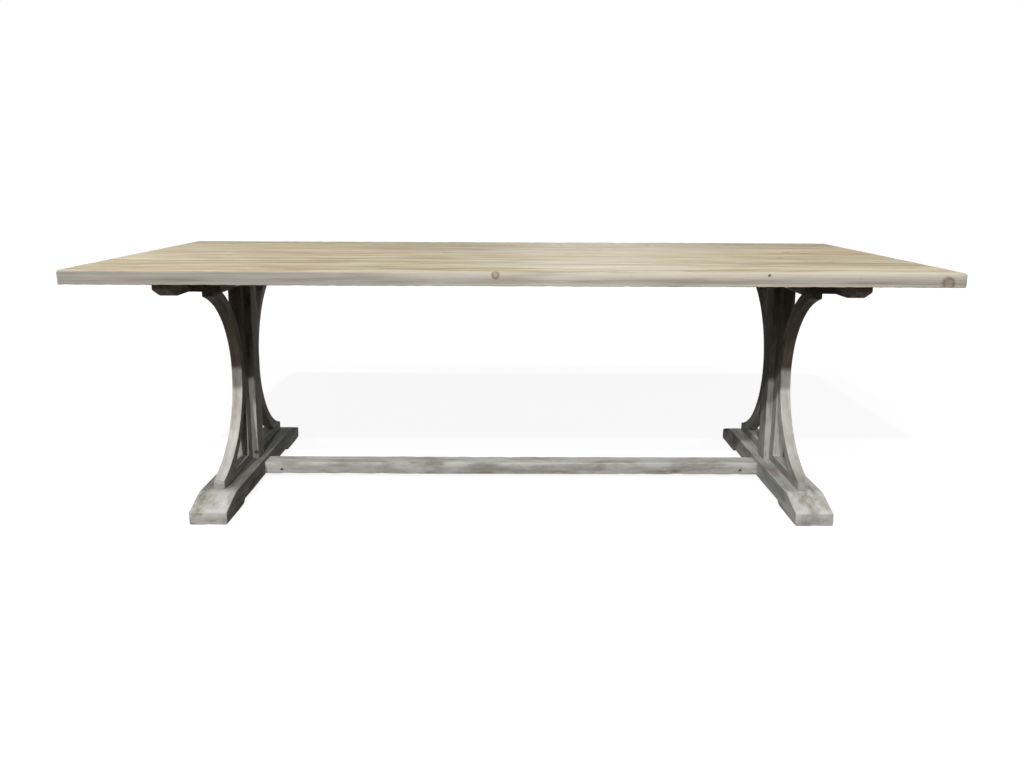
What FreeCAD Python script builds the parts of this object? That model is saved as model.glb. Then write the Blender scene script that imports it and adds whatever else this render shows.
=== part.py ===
import FreeCAD, Part
import math
import os

# Trestle dining table: a plank top on two pedestals, each a sled foot, a post and a pair of
# curved braces, tied together near the floor by one flat stretcher that unbolts for moving.
# Millimetres, +Z up, +X along the boards, origin on the floor under the middle of the top.

# Top
top_length = 2400.0
top_width = 1000.0
table_height = 750.0
top_thickness = 40.0
board_count = 7
top_corner_round = 10.0
top_arris_round = 6.0
top_lower_ease = 2.0
tongue_thickness = 8.0
tongue_width = 24.0
tongue_stop = 40.0

# Cleats under the top
cleat_width = 46.0
cleat_depth = 42.0
cleat_setback = 40.0
cleat_end_depth = 19.0
cleat_slope_run = 50.0
cleat_screw_diameter = 5.0
cleat_screw_head_diameter = 10.0
cleat_screw_head_height = 4.0
cleat_screw_land = 22.0
cleat_screw_bite = 28.0

# Sled feet
pedestal_inset = 322.0
foot_length = 820.0
foot_width = 110.0
foot_height = 68.0
foot_end_height = 39.0
foot_slope_run = 92.0
foot_pad_length = 153.0
foot_relief_height = 11.0
foot_relief_run = 16.0
foot_ease = 3.0

# Posts and the spine strips let into their front and rear faces
post_width = 72.0
post_depth = 64.0
post_ease = 2.0
spine_proud = 36.0
spine_housing = 6.0
tenon_width = 30.0
tenon_depth = 50.0
tenon_web = 3.5
rail_tenon_height = 25.0

# Braces, sills and head strips, flush with one another
frame_width = 32.0
frame_reach = 305.0
sill_height = 25.0
head_strip_height = 16.0
brace_waist = 26.0
brace_setback = 4.0
brace_end_depth = 79.0
brace_seat_depth = 3.0
brace_nose = 2.0
brace_ease = 1.5

# Head rails
head_rail_length = 650.0
head_rail_width = 90.0
head_rail_height = 42.0
head_rail_ease = 2.0

# Stretcher
stretcher_width = 64.0
stretcher_height = 40.0
stretcher_lift = 4.0
stretcher_ease = 3.0
stretcher_tenon_width = 40.0
stretcher_tenon_height = 22.0
stretcher_tenon_length = 28.0
stretcher_bolt_rise = 14.0

# Bolts, washers, inserts, barrel nuts and dowels
bolt_diameter = 6.0
bolt_head_flats = 10.0
bolt_head_height = 4.0
bolt_hole_diameter = 7.0
washer_diameter = 18.0
washer_thickness = 1.6
insert_diameter = 10.0
insert_length = 16.0
top_bolt_offset = 32.0
counterbore_diameter = 22.0
counterbore_depth = 14.0
barrel_nut_diameter = 10.0
barrel_nut_length = 18.0
barrel_nut_setback = 56.0
bolt_end_length = 10.0
dowel_diameter = 8.0
dowel_length = 24.0
peg_flats = 8

# Fits
joint_clearance = 0.2
end_gap = 1.0
overrun = 20.0

# Places of dowels, as shares of the pieces that they cross
sill_dowel_shares = (0.25, 0.92)
brace_dowel_share = 0.3

# Lengths that follow the top
board_width = top_width / board_count
cleat_length = top_width - 2 * cleat_setback
pedestal_spacing = top_length - 2 * pedestal_inset

# Levels, from the floor up
sill_top = foot_height + sill_height
top_underside = table_height - top_thickness
head_rail_underside = top_underside - head_rail_height
head_strip_underside = head_rail_underside - head_strip_height
stretcher_underside = foot_relief_height + stretcher_lift
stretcher_top = stretcher_underside + stretcher_height
stretcher_axis = stretcher_underside + stretcher_bolt_rise

# Places across a pedestal, from its middle outwards
post_face = post_depth / 2
spine_face = post_face + spine_proud
brace_face = spine_face + brace_waist
brace_tip = frame_reach - brace_setback
brace_heel = brace_tip - brace_end_depth
foot_face = pedestal_spacing / 2 - foot_width / 2

up = FreeCAD.Vector(0, 0, 1)
along = FreeCAD.Vector(1, 0, 0)
across = FreeCAD.Vector(0, 1, 0)
sides = {"left": -1, "right": 1}
faces = ("front", "rear")


def block(x_span, y_span, z_span):
    """Box between a low and a high value on each axis."""
    corner = FreeCAD.Vector(x_span[0], y_span[0], z_span[0])
    return Part.makeBox(x_span[1] - x_span[0], y_span[1] - y_span[0], z_span[1] - z_span[0], corner)


def centred(size, middle=0.0):
    """Span of a given size about a middle value."""
    return (middle - size / 2, middle + size / 2)


def rod(start, direction, diameter, length):
    """Round bar from a start point along a direction."""
    return Part.makeCylinder(diameter / 2, length, start, direction)


def peg(start, direction, diameter, length):
    """Pin, or the hole for one, drawn with a few flats because there are so many of them."""
    corner = diameter / 2 / math.cos(math.pi / peg_flats)
    first = (along if direction == up else up) * corner
    second = direction.cross(first)
    angles = [2 * math.pi * (turn + 1 / 2) / peg_flats for turn in range(peg_flats)]
    ring = [start + first * math.cos(a) + second * math.sin(a) for a in angles]
    return Part.Face(Part.makePolygon(ring + ring[:1])).extrude(direction * length)


def side_prism(edges, width):
    """Prism of a closed outline drawn in the Y-Z plane, centred on X."""
    face = Part.Face(Part.Wire(Part.sortEdges(edges)[0]))
    prism = face.extrude(along * width)
    prism.translate(along * (-width / 2))
    return prism


def outline(points):
    """Straight edges round a list of (y, z) points."""
    corners = [FreeCAD.Vector(0, y, z) for y, z in points]
    return [Part.makeLine(a, b) for a, b in zip(corners, corners[1:] + corners[:1])]


def chamfered(shape, size, is_eased):
    """Takes the arris off the edges whose middle point passes a test."""
    chosen = [edge for edge in shape.Edges if is_eased(edge.CenterOfMass)]
    return shape.makeChamfer(size, chosen)


def turned(shape):
    """Copy of a piece turned half round about the upright axis of its pedestal."""
    piece = shape.copy()
    piece.rotate(FreeCAD.Vector(0, 0, 0), up, 180)
    return piece


def carried(shape, side):
    """Copy of a piece carried from a pedestal at the origin to one side."""
    piece = shape.copy()
    piece.translate(along * (sides[side] * pedestal_spacing / 2))
    return piece


def stand(shape, side):
    """Places a piece that was made for the right-hand pedestal."""
    return carried(turned(shape) if side == "left" else shape, side)


def stand_facing(shape, side, face):
    """Places a piece that was made for the rear of either pedestal."""
    return carried(turned(shape) if face == "front" else shape, side)


def board_middle(index):
    """Y of the middle line of one board, counted from the front."""
    return -top_width / 2 + (index + 1 / 2) * board_width


def bolted_boards():
    """Indices of the two boards that take the pedestal bolts, one each side of the middle."""
    return (board_count // 2 - 1, board_count - board_count // 2)


def top_bolt_places():
    """X and Y, from the middle of a pedestal, of the bolts that hold it to the top."""
    rows = [board_middle(index) for index in bolted_boards()]
    return [(x, y) for x in (-top_bolt_offset, top_bolt_offset) for y in rows]


def cleat_middle():
    """X of a cleat's middle line, from the middle of its pedestal: it lies against the head rail."""
    return head_rail_width / 2 + cleat_width / 2


def slab():
    """The whole top before it is divided: rounded corners and upper arris, eased lower arris."""
    body = block(centred(top_length), centred(top_width), (top_underside, table_height))
    uprights = [edge for edge in body.Edges if edge.BoundBox.ZLength > top_thickness / 2]
    body = body.makeFillet(top_corner_round, uprights)
    upper = [edge for edge in body.Edges if edge.BoundBox.ZMin > table_height - top_thickness / 2]
    body = body.makeFillet(top_arris_round, upper)
    lower = [edge for edge in body.Edges if edge.BoundBox.ZMax < top_underside + top_lower_ease / 2]
    return body.makeChamfer(top_lower_ease, lower)


def tongue(seam, clearance=0.0, gap=0.0):
    """Loose tongue on the seam after a board, or with a clearance and a gap the groove for it."""
    y = -top_width / 2 + (seam + 1) * board_width
    z = top_underside + top_thickness / 2
    length = top_length - 2 * tongue_stop + 2 * gap
    return block(
        centred(length),
        centred(tongue_width + 2 * gap, y),
        centred(tongue_thickness + 2 * clearance, z),
    )


def top_holes():
    """Holes in the underside of the top for the inserts and the cleat screws."""
    holes = []
    for side in sides:
        for x, y in top_bolt_places():
            start = FreeCAD.Vector(x, y, top_underside - overrun)
            depth = overrun + insert_length + end_gap
            holes.append(stand(peg(start, up, insert_diameter + 2 * joint_clearance, depth), side))
        for index in range(board_count):
            start = FreeCAD.Vector(cleat_middle(), board_middle(index), top_underside - overrun)
            depth = overrun + cleat_screw_bite + end_gap
            holes.append(stand(peg(start, up, cleat_screw_diameter + 2 * joint_clearance, depth), side))
    return holes


def top_boards():
    """The boards of the top, front to rear, grooved for the tongues and bored from below."""
    body = slab()
    holes = top_holes()
    boards = []
    for index in range(board_count):
        span = centred(board_width, board_middle(index))
        board = body.common(block(centred(top_length), span, (top_underside, table_height)))
        seams = [seam for seam in (index - 1, index) if 0 <= seam < board_count - 1]
        grooves = [tongue(seam, joint_clearance, end_gap) for seam in seams]
        inside = [hole for hole in holes if span[0] < hole.BoundBox.Center.y < span[1]]
        boards.append(board.cut(grooves + inside))
    return boards


def cleat():
    """Batten across the underside of the top, with undercut ends and counterbored screw holes."""
    end = cleat_length / 2
    knee = end - cleat_slope_run
    tip = top_underside - cleat_end_depth
    bottom = top_underside - cleat_depth
    right_half = [(end, top_underside), (end, tip), (knee, bottom)]
    left_half = [(-y, z) for y, z in reversed(right_half)]
    bar = side_prism(outline(right_half + left_half), cleat_width)
    bar.translate(along * cleat_middle())
    cuts = []
    for index in range(board_count):
        start = FreeCAD.Vector(cleat_middle(), board_middle(index), bottom - overrun)
        through = cleat_depth + 2 * overrun
        cuts.append(peg(start, up, cleat_screw_diameter + 2 * joint_clearance, through))
        sunk = overrun + cleat_depth - cleat_screw_land
        cuts.append(peg(start, up, cleat_screw_head_diameter + 2 * joint_clearance, sunk))
    return bar.cut(cuts)


def cleat_screw(index):
    """Pan-headed screw up through a cleat into one board."""
    seat = top_underside - cleat_screw_land
    place = FreeCAD.Vector(cleat_middle(), board_middle(index), seat)
    shank = peg(place, up, cleat_screw_diameter, cleat_screw_land + cleat_screw_bite)
    return shank.fuse(peg(place, up, cleat_screw_head_diameter, -cleat_screw_head_height))


def post_tenon_height():
    """Depth of the post's tenon in the foot, which stops a web above the stretcher bolt's hole."""
    return foot_height - stretcher_axis - bolt_hole_diameter / 2 - tenon_web - end_gap


def post_tenons(clearance=0.0, gap=0.0):
    """The post's two tenons, or with a clearance and a gap the mortises for them."""
    return block(
        centred(tenon_width + 2 * clearance),
        centred(tenon_depth + 2 * clearance),
        (foot_height - post_tenon_height() - gap, head_rail_underside + rail_tenon_height + gap),
    )


def stretcher_mortise():
    """Mortise for the stretcher's tenon in the inner side of a right-hand foot at the origin."""
    inner = -foot_width / 2
    return block(
        (inner - overrun, inner + stretcher_tenon_length + end_gap),
        centred(stretcher_tenon_width + 2 * joint_clearance),
        centred(stretcher_tenon_height + 2 * joint_clearance, stretcher_axis),
    )


def foot():
    """Sled foot: sloped ends, relieved underside, mortised for the post and for the stretcher."""
    end = foot_length / 2
    heel = end - foot_pad_length
    half = [
        (heel - foot_relief_run, foot_relief_height),
        (heel, 0),
        (end, 0),
        (end, foot_end_height),
        (end - foot_slope_run, foot_height),
    ]
    bar = side_prism(outline(half + [(-y, z) for y, z in reversed(half)]), foot_width)
    flank = foot_width / 2 - foot_ease
    bar = chamfered(bar, foot_ease, lambda p: abs(p.x) > flank and p.z > foot_relief_height)
    outer = FreeCAD.Vector(foot_width / 2 + overrun, 0, stretcher_axis)
    bolt_hole = peg(outer, -along, bolt_hole_diameter, foot_width + 2 * overrun)
    counterbore = rod(outer, -along, counterbore_diameter, overrun + counterbore_depth)
    holes = strip_dowels(foot_height, joint_clearance, end_gap)
    holes += [turned(hole) for hole in holes]
    mortises = [post_tenons(joint_clearance, end_gap), stretcher_mortise()]
    return bar.cut(mortises + [bolt_hole, counterbore] + holes)


def post():
    """Square post, tenoned at both ends, housed front and rear for the spine strips."""
    body = block(centred(post_width), centred(post_depth), (foot_height, head_rail_underside))
    flank = post_width / 2 - post_ease
    corner = post_depth / 2 - post_ease
    body = chamfered(body, post_ease, lambda p: abs(p.x) > flank and abs(p.y) > corner)
    housing = spine(joint_clearance)
    return body.cut([housing, turned(housing)]).fuse(post_tenons()).removeSplitter()


def spine(clearance=0.0):
    """Strip let into the rear face of the post, on which a brace seats, or its housing."""
    return block(
        centred(frame_width + 2 * clearance),
        (post_face - spine_housing - clearance, spine_face),
        (sill_top, head_strip_underside),
    )


def arc(start, middle, end):
    """Arc through three (y, z) points."""
    points = [FreeCAD.Vector(0, y, z) for y, z in (start, middle, end)]
    return Part.Arc(*points).toShape()


def brace():
    """Crescent brace behind the post: thin at the waist, where it seats on the spine, thick at its ends."""
    middle = (sill_top + head_strip_underside) / 2
    low_nose = (brace_tip, sill_top + brace_nose)
    high_nose = (brace_tip, head_strip_underside - brace_nose)
    low_toe = (brace_tip, sill_top)
    high_toe = (brace_tip, head_strip_underside)
    low_heel = (brace_heel, sill_top)
    high_heel = (brace_heel, head_strip_underside)
    edges = [arc(low_nose, (brace_face, middle), high_nose)]
    edges.append(arc(low_heel, (spine_face - brace_seat_depth, middle), high_heel))
    for ends in ((low_heel, low_toe), (low_toe, low_nose), (high_nose, high_toe), (high_toe, high_heel)):
        edges.append(Part.makeLine(*[FreeCAD.Vector(0, y, z) for y, z in ends]))
    body = side_prism(edges, frame_width)
    bow = [edge for edge in body.Edges if is_outer_bow(edge)]
    body = body.makeChamfer(brace_ease, bow)
    seat = block(
        centred(frame_width + 2 * overrun),
        (spine_face - brace_seat_depth - overrun, spine_face),
        (sill_top, head_strip_underside),
    )
    return body.cut([seat] + brace_dowels(joint_clearance, end_gap))


def is_outer_bow(edge):
    """True for the two long curved edges of a brace's outer face."""
    box = edge.BoundBox
    tall = box.ZLength > (head_strip_underside - sill_top) / 2
    return tall and box.YMin > spine_face


def dowel(y, level, clearance=0.0, gap=0.0):
    """Upright dowel across a joint at one level, or with a clearance and a gap the hole for it."""
    start = FreeCAD.Vector(0, y, level - dowel_length / 2 - gap)
    return peg(start, up, dowel_diameter + 2 * clearance, dowel_length + 2 * gap)


def sill_dowel_places():
    """Y of the dowels along a rear sill or head strip."""
    return [post_face + share * (frame_reach - post_face) for share in sill_dowel_shares]


def brace_dowels(clearance=0.0, gap=0.0):
    """Dowels, or holes, at the two ends of a rear brace."""
    y = brace_heel + brace_dowel_share * (brace_tip - brace_heel)
    return [dowel(y, level, clearance, gap) for level in (sill_top, head_strip_underside)]


def strip_dowels(level, clearance=0.0, gap=0.0):
    """Dowels, or holes, between a rear sill or head strip and the bar that carries it."""
    return [dowel(y, level, clearance, gap) for y in sill_dowel_places()]


def frame_strip(low, high, bar_level):
    """Sill or head strip from the post outwards, bored for the brace and for its own bar."""
    bar = block(centred(frame_width), (post_face, frame_reach), (low, high))
    holes = brace_dowels(joint_clearance, end_gap)
    holes += strip_dowels(bar_level, joint_clearance, end_gap)
    return bar.cut(holes)


def head_rail():
    """Rail along the head of a pedestal, mortised for the post and bored for the bolts."""
    bar = block(centred(head_rail_width), centred(head_rail_length), (head_rail_underside, top_underside))
    low = head_rail_underside + head_rail_ease
    bar = chamfered(bar, head_rail_ease, lambda p: p.z < low)
    cuts = [post_tenons(joint_clearance, end_gap)]
    for x, y in top_bolt_places():
        start = FreeCAD.Vector(x, y, head_rail_underside - overrun)
        cuts.append(peg(start, up, bolt_hole_diameter, head_rail_height + 2 * overrun))
    holes = strip_dowels(head_rail_underside, joint_clearance, end_gap)
    return bar.cut(cuts + holes + [turned(hole) for hole in holes])


def stretcher_bolt_end():
    """X of the right-hand bolt's tip inside the stretcher."""
    return foot_face - barrel_nut_setback - bolt_end_length


def counterbore_floor():
    """X of the floor of the right-hand foot's counterbore."""
    return pedestal_spacing / 2 + foot_width / 2 - counterbore_depth


def is_long_arris(point):
    """True for the middle points of the stretcher's four long edges."""
    on_side = abs(point.y) > stretcher_width / 2 - stretcher_ease
    on_end = abs(point.x) > foot_face - stretcher_ease
    is_low = point.z < stretcher_underside + stretcher_ease
    is_high = point.z > stretcher_top - stretcher_ease
    return on_side and (is_low or is_high) and not on_end


def stretcher():
    """Flat stretcher between the feet, tenoned, bored from its ends and from its front face."""
    body = block(
        centred(2 * foot_face),
        centred(stretcher_width),
        (stretcher_underside, stretcher_top),
    )
    body = chamfered(body, stretcher_ease, is_long_arris)
    length = 2 * foot_face + 2 * stretcher_tenon_length
    tenons = block(
        centred(length),
        centred(stretcher_tenon_width),
        centred(stretcher_tenon_height, stretcher_axis),
    )
    cuts = []
    for sign in sides.values():
        end = FreeCAD.Vector(sign * (length / 2 + overrun), 0, stretcher_axis)
        depth = length / 2 + overrun - stretcher_bolt_end() + end_gap
        cuts.append(peg(end, along * -sign, bolt_hole_diameter, depth))
        front = -stretcher_width / 2 - overrun
        mouth = FreeCAD.Vector(sign * (foot_face - barrel_nut_setback), front, stretcher_axis)
        reach = overrun + stretcher_width / 2 + barrel_nut_length / 2 + joint_clearance
        cuts.append(rod(mouth, across, barrel_nut_diameter + 2 * joint_clearance, reach))
    return body.fuse(tenons).removeSplitter().cut(cuts)


def hex_head(place, direction):
    """Hexagon bolt head that seats at the place, on a shank that runs along the direction."""
    corner = bolt_head_flats / math.sqrt(3)
    first = across * corner
    second = direction.cross(first)
    angles = [turn * math.pi / 3 for turn in range(6)]
    ring = [place + first * math.cos(a) + second * math.sin(a) for a in angles]
    return Part.Face(Part.makePolygon(ring + ring[:1])).extrude(direction * -bolt_head_height)


def top_bolts():
    """Bolts, washers and threaded inserts that hold both pedestals to the top."""
    bolts, washers, inserts = [], [], []
    for side in sides:
        for x, y in top_bolt_places():
            seat = FreeCAD.Vector(x, y, head_rail_underside - washer_thickness)
            hole = peg(seat - up * overrun, up, bolt_hole_diameter, washer_thickness + 2 * overrun)
            washers.append(stand(peg(seat, up, washer_diameter, washer_thickness).cut(hole), side))
            shank = peg(seat, up, bolt_diameter, washer_thickness + head_rail_height + insert_length)
            bolts.append(stand(shank.fuse(hex_head(seat, up)), side))
            mouth = FreeCAD.Vector(x, y, top_underside)
            sleeve = peg(mouth, up, insert_diameter, insert_length)
            through = insert_length + 2 * overrun
            bore = peg(mouth - up * overrun, up, bolt_diameter + 2 * joint_clearance, through)
            inserts.append(stand(sleeve.cut(bore), side))
    return {"top_bolts": bolts, "top_bolt_washers": washers, "top_bolt_inserts": inserts}


def stretcher_bolts():
    """Bolts, washers and barrel nuts that draw the feet against the stretcher."""
    bolts, washers, nuts = [], [], []
    for sign in sides.values():
        inward = along * -sign
        seat = FreeCAD.Vector(sign * (counterbore_floor() + washer_thickness), 0, stretcher_axis)
        hole = peg(seat - inward * overrun, inward, bolt_hole_diameter, washer_thickness + 2 * overrun)
        washers.append(rod(seat, inward, washer_diameter, washer_thickness).cut(hole))
        length = counterbore_floor() + washer_thickness - stretcher_bolt_end()
        bolts.append(peg(seat, inward, bolt_diameter, length).fuse(hex_head(seat, inward)))
        middle = FreeCAD.Vector(sign * (foot_face - barrel_nut_setback), 0, stretcher_axis)
        nut = rod(middle - across * (barrel_nut_length / 2), across, barrel_nut_diameter, barrel_nut_length)
        bore = peg(middle - inward * overrun, inward, bolt_diameter + 2 * joint_clearance, 2 * overrun)
        nuts.append(nut.cut(bore))
    return {"stretcher_bolts": bolts, "stretcher_washers": washers, "barrel_nuts": nuts}


def pedestal(side):
    """The separate pieces of one pedestal, under their own names."""
    pieces = {"foot": stand(foot(), side), "post": stand(post(), side)}
    pieces["head_rail"] = stand(head_rail(), side)
    pieces["cleat"] = stand(cleat(), side)
    for face in faces:
        sill = frame_strip(foot_height, sill_top, foot_height)
        strip = frame_strip(head_strip_underside, head_rail_underside, head_rail_underside)
        made = {"spine": spine(), "brace": brace(), "sill": sill, "head_strip": strip}
        for name, shape in made.items():
            pieces[face + "_" + name] = stand_facing(shape, side, face)
    return {side + "_" + name: shape for name, shape in pieces.items()}


def dowel_groups():
    """All dowels, grouped by what they join."""
    groups = {"brace_dowels": [], "sill_dowels": [], "head_strip_dowels": []}
    for side in sides:
        for face in faces:
            made = {
                "brace_dowels": brace_dowels(),
                "sill_dowels": strip_dowels(foot_height),
                "head_strip_dowels": strip_dowels(head_rail_underside),
            }
            for name, dowels in made.items():
                groups[name] += [stand_facing(one, side, face) for one in dowels]
    return groups


def table():
    """Every node of the table by name."""
    nodes = {"top_board_%d" % (index + 1): board for index, board in enumerate(top_boards())}
    groups = {"board_tongues": [tongue(seam) for seam in range(board_count - 1)]}
    groups["cleat_screws"] = [stand(cleat_screw(i), side) for side in sides for i in range(board_count)]
    groups.update(dowel_groups())
    groups.update(top_bolts())
    groups.update(stretcher_bolts())
    for side in sides:
        nodes.update(pedestal(side))
    nodes["stretcher"] = stretcher()
    nodes.update({name: Part.makeCompound(solids) for name, solids in groups.items()})
    return nodes


os.makedirs("parts", exist_ok=True)
for name, shape in table().items():
    shape.exportStep(os.path.join("parts", name + ".step"))
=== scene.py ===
"""Looks of a trestle dining table: limewashed planks on two grey-washed pedestals with curved braces."""

import logging
import math
import zlib
from dataclasses import dataclass, replace
from enum import Enum
from typing import Any, Callable, Mapping, Sequence

import bpy
import numpy as np
from mathutils import Matrix, Vector


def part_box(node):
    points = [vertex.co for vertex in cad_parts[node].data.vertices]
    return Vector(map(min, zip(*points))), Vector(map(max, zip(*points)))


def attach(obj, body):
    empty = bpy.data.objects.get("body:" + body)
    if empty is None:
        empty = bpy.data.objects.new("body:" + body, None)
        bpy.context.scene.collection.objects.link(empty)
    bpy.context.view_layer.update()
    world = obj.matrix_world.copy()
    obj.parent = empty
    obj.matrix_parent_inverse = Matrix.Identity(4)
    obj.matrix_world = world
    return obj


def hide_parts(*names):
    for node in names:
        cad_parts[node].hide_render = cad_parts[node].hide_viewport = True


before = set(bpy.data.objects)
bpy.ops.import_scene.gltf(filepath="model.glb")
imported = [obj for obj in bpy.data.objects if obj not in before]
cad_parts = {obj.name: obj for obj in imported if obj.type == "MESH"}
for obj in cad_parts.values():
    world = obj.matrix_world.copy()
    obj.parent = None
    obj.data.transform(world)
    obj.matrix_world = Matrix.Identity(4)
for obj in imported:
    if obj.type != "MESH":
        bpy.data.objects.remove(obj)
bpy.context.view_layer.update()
LOG = logging.getLogger("trestle_table")

Array = np.ndarray
Colour = tuple[float, float, float]
Place = tuple[float, float, float]
Point = tuple[float, float]
Tone = Callable[[Array], Array]

ROOT = "root"
WHITE = (1.0, 1.0, 1.0)
# Height of the stretcher's bolts and nuts above the floor.
BOLT_HEIGHT = 0.029
# Part of a rounded corner's size that it loses as its outline is drawn in, so that it never crosses itself.
CORNER_SHRINK = 0.9
# Number of sine waves in one unevenness.
WAVE_COUNT = 6
# Swelling of an arris, and the wavelengths of that swelling, of a surface's wander and of chips.
SWELL_SHARE = 0.3
SWELL_LENGTH = 0.09
WANDER_LENGTH = 0.12
CHIP_LENGTH = 0.03
# Depth of a chip in depths of the wander.
CHIP_DEPTH = 2
# Easing of a washer as a share of its thickness.
WASHER_EASE = 1 / 5
# Mean of the noise nodes.
NOISE_MEAN = 0.5
# Sockets of a Mix node that mixes colours.
MIX_FACTOR, MIX_FIRST, MIX_SECOND, MIX_RESULT = 0, 6, 7, 2


def srgb(red: int, green: int, blue: int) -> Colour:
    """Turns a colour as the eye reads it, 0 to 255, into the linear values that shaders take.

    Args:
        red: Red from 0 to 255.
        green: Green from 0 to 255.
        blue: Blue from 0 to 255.

    Returns:
        Linear red, green and blue.
    """
    share = np.array([red, green, blue]) / 255
    linear = np.where(share <= 0.04045, share / 12.92, ((share + 0.055) / 1.055) ** 2.4)
    return tuple(float(value) for value in linear)


def opaque(colour: Colour) -> tuple[float, float, float, float]:
    """Gives a colour full alpha, as a colour socket takes it."""
    return (*colour, 1.0)


def seeded(name: str) -> np.random.Generator:
    """Gives a random source that depends on a piece's name alone."""
    return np.random.default_rng(zlib.crc32(name.encode()))


class Axes(Enum):
    """World directions of an outline's u and v and of its depth w, always right-handed."""

    SIDE = ((0, 1, 0), (0, 0, 1), (1, 0, 0))
    PLAN = ((1, 0, 0), (0, 1, 0), (0, 0, 1))
    FRONT = ((0, 0, 1), (1, 0, 0), (0, 1, 0))


class Grain(Enum):
    """World axes that lie along, across and through a timber's fibres."""

    ALONG = (0, 1, 2)
    ACROSS = (1, 0, 2)
    UPRIGHT = (2, 0, 1)
    SAWN = (2, 1, 0)
    FLAT = (1, 2, 0)


class Side(Enum):
    """Ends of the table, as the names of its solids call them."""

    LEFT = "left"
    RIGHT = "right"


class Face(Enum):
    """Faces of a pedestal, as the names of its solids call them."""

    FRONT = "front"
    REAR = "rear"


@dataclass
class Shell:
    """Points and faces of one closed skin, with how worn each point is.

    Attributes:
        points: Places, one row per point.
        faces: Point numbers round each face, counter-clockwise from outside.
        wear: From 0 on a flat to 1 on an arris.
    """

    points: Array
    faces: list[list[int]]
    wear: Array


@dataclass
class Outline:
    """Closed counter-clockwise outline with rounded corners.

    Attributes:
        points: Places on the outline, one (u, v) row each.
        corner: 1 on a rounded corner and 0 elsewhere.
        apex: The sharp corner that a rounded point belongs to, or the point itself.
        mitre: Way a point moves when the outline is drawn in by 1: the normal, or the corner's mitre.
    """

    points: Array
    corner: Array
    apex: Array
    mitre: Array

    def inward(self) -> Array:
        """Gives the unit normals that point into the outline: the tangent turned a quarter to the left."""
        tangent = np.roll(self.points, -1, 0) - np.roll(self.points, 1, 0)
        return left_of(tangent)

    def drawn(self, most: Array) -> Array:
        """Gives a point's move as the outline is drawn in by 1: its mitre, less a corner's shrinking."""
        return self.mitre - CORNER_SHRINK * (self.points - self.apex) / most[:, None]

    def mirrored(self) -> "Outline":
        """Turns the outline over from left to right, and keeps it counter-clockwise.

        Returns:
            The other outline.
        """
        flip = np.array([-1, 1])
        points, apex, mitre = (rows[::-1] * flip for rows in (self.points, self.apex, self.mitre))
        return Outline(points, self.corner[::-1], apex, mitre)


def straight(start: Point, end: Point, spacing: float) -> Array:
    """Divides a straight side from one corner to the next, at about a given spacing."""
    count = max(2, int(math.dist(start, end) / spacing)) + 1
    return np.linspace(start, end, count)


def bow_centre(start: Point, middle: Point, end: Point) -> Array:
    """Finds the centre of the arc through three points, where the bisectors of two chords meet.

    Args:
        start: First point.
        middle: A point on the way.
        end: Last point.

    Returns:
        The centre.
    """
    a, b, c = (np.array(point, float) for point in (start, middle, end))
    rows = np.stack([b - a, c - a])
    return np.linalg.solve(rows, (rows * np.stack([a + b, a + c])).sum(1) / 2)


def bow(start: Point, middle: Point, end: Point, count: int) -> Array:
    """Draws the arc through three points, with points that are evenly turned about its centre.

    Args:
        start: First point.
        middle: A point on the way.
        end: Last point.
        count: Number of points.

    Returns:
        Points from first to last.
    """
    a, b, c = (np.array(point, float) for point in (start, middle, end))
    centre = bow_centre(start, middle, end)
    turns = np.unwrap([math.atan2(*(point - centre)[::-1]) for point in (a, b, c)])
    angle = np.linspace(turns[0], turns[2], count)
    radius = np.linalg.norm(a - centre)
    return centre + radius * np.stack([np.cos(angle), np.sin(angle)], 1)


def left_of(tangent: Array) -> Array:
    """Turns directions a quarter to the left and scales them to length 1."""
    turned = np.stack([-tangent[..., 1], tangent[..., 0]], -1)
    return turned / np.linalg.norm(turned, axis=-1, keepdims=True)


def closed_outline(
    sides: Sequence[Array],
    cuts: Sequence[float],
    room: float = 0.008,
    steps: int = 4,
) -> Outline:
    """Joins sides end to end and rounds the corner at the end of each.

    A corner becomes the parabola that leaves one side a cut's length before it and joins the next as far
    after it.

    Args:
        sides: Open runs of points, each from one corner to the next.
        cuts: Length taken off both sides at the end of each run.
        room: Length kept free beside a corner, for its mitre.
        steps: Divisions of a rounded corner.

    Returns:
        The whole outline.
    """
    points, corner, apexes, mitres = [], [], [], []
    share = np.linspace(0, 1, steps + 1)[:, None]
    for index, run in enumerate(sides):
        following = sides[(index + 1) % len(sides)]
        from_start = np.linalg.norm(run - run[0], axis=1)
        from_end = np.linalg.norm(run - run[-1], axis=1)
        clear = (from_start > cuts[index - 1] + room) & (from_end > cuts[index] + room)
        normals = left_of(np.gradient(run, axis=0))
        points.append(run[clear])
        apexes.append(run[clear])
        mitres.append(normals[clear])
        corner.append(np.zeros(int(clear.sum())))
        before, after = run[-1] - run[-2], following[1] - following[0]
        start = run[-1] - before / np.linalg.norm(before) * cuts[index]
        end = run[-1] + after / np.linalg.norm(after) * cuts[index]
        points.append((1 - share) ** 2 * start + 2 * share * (1 - share) * run[-1] + share**2 * end)
        sharp = left_of(np.stack([before, after]))
        mitre = sharp.sum(0) / (1 + sharp[0] @ sharp[1])
        apexes.append(np.broadcast_to(run[-1], (steps + 1, 2)))
        mitres.append(np.broadcast_to(mitre, (steps + 1, 2)))
        corner.append(np.ones(steps + 1))
    return Outline(*(np.concatenate(rows) for rows in (points, corner, apexes, mitres)))


def rectangle(low: Point, high: Point, cuts: Sequence[float], spacing: float) -> Outline:
    """Draws a rectangle, cut at its right lower, right upper, left upper and left lower corner."""
    corners = [low, (high[0], low[1]), high, (low[0], high[1])]
    return polygon(corners, cuts, spacing)


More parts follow.
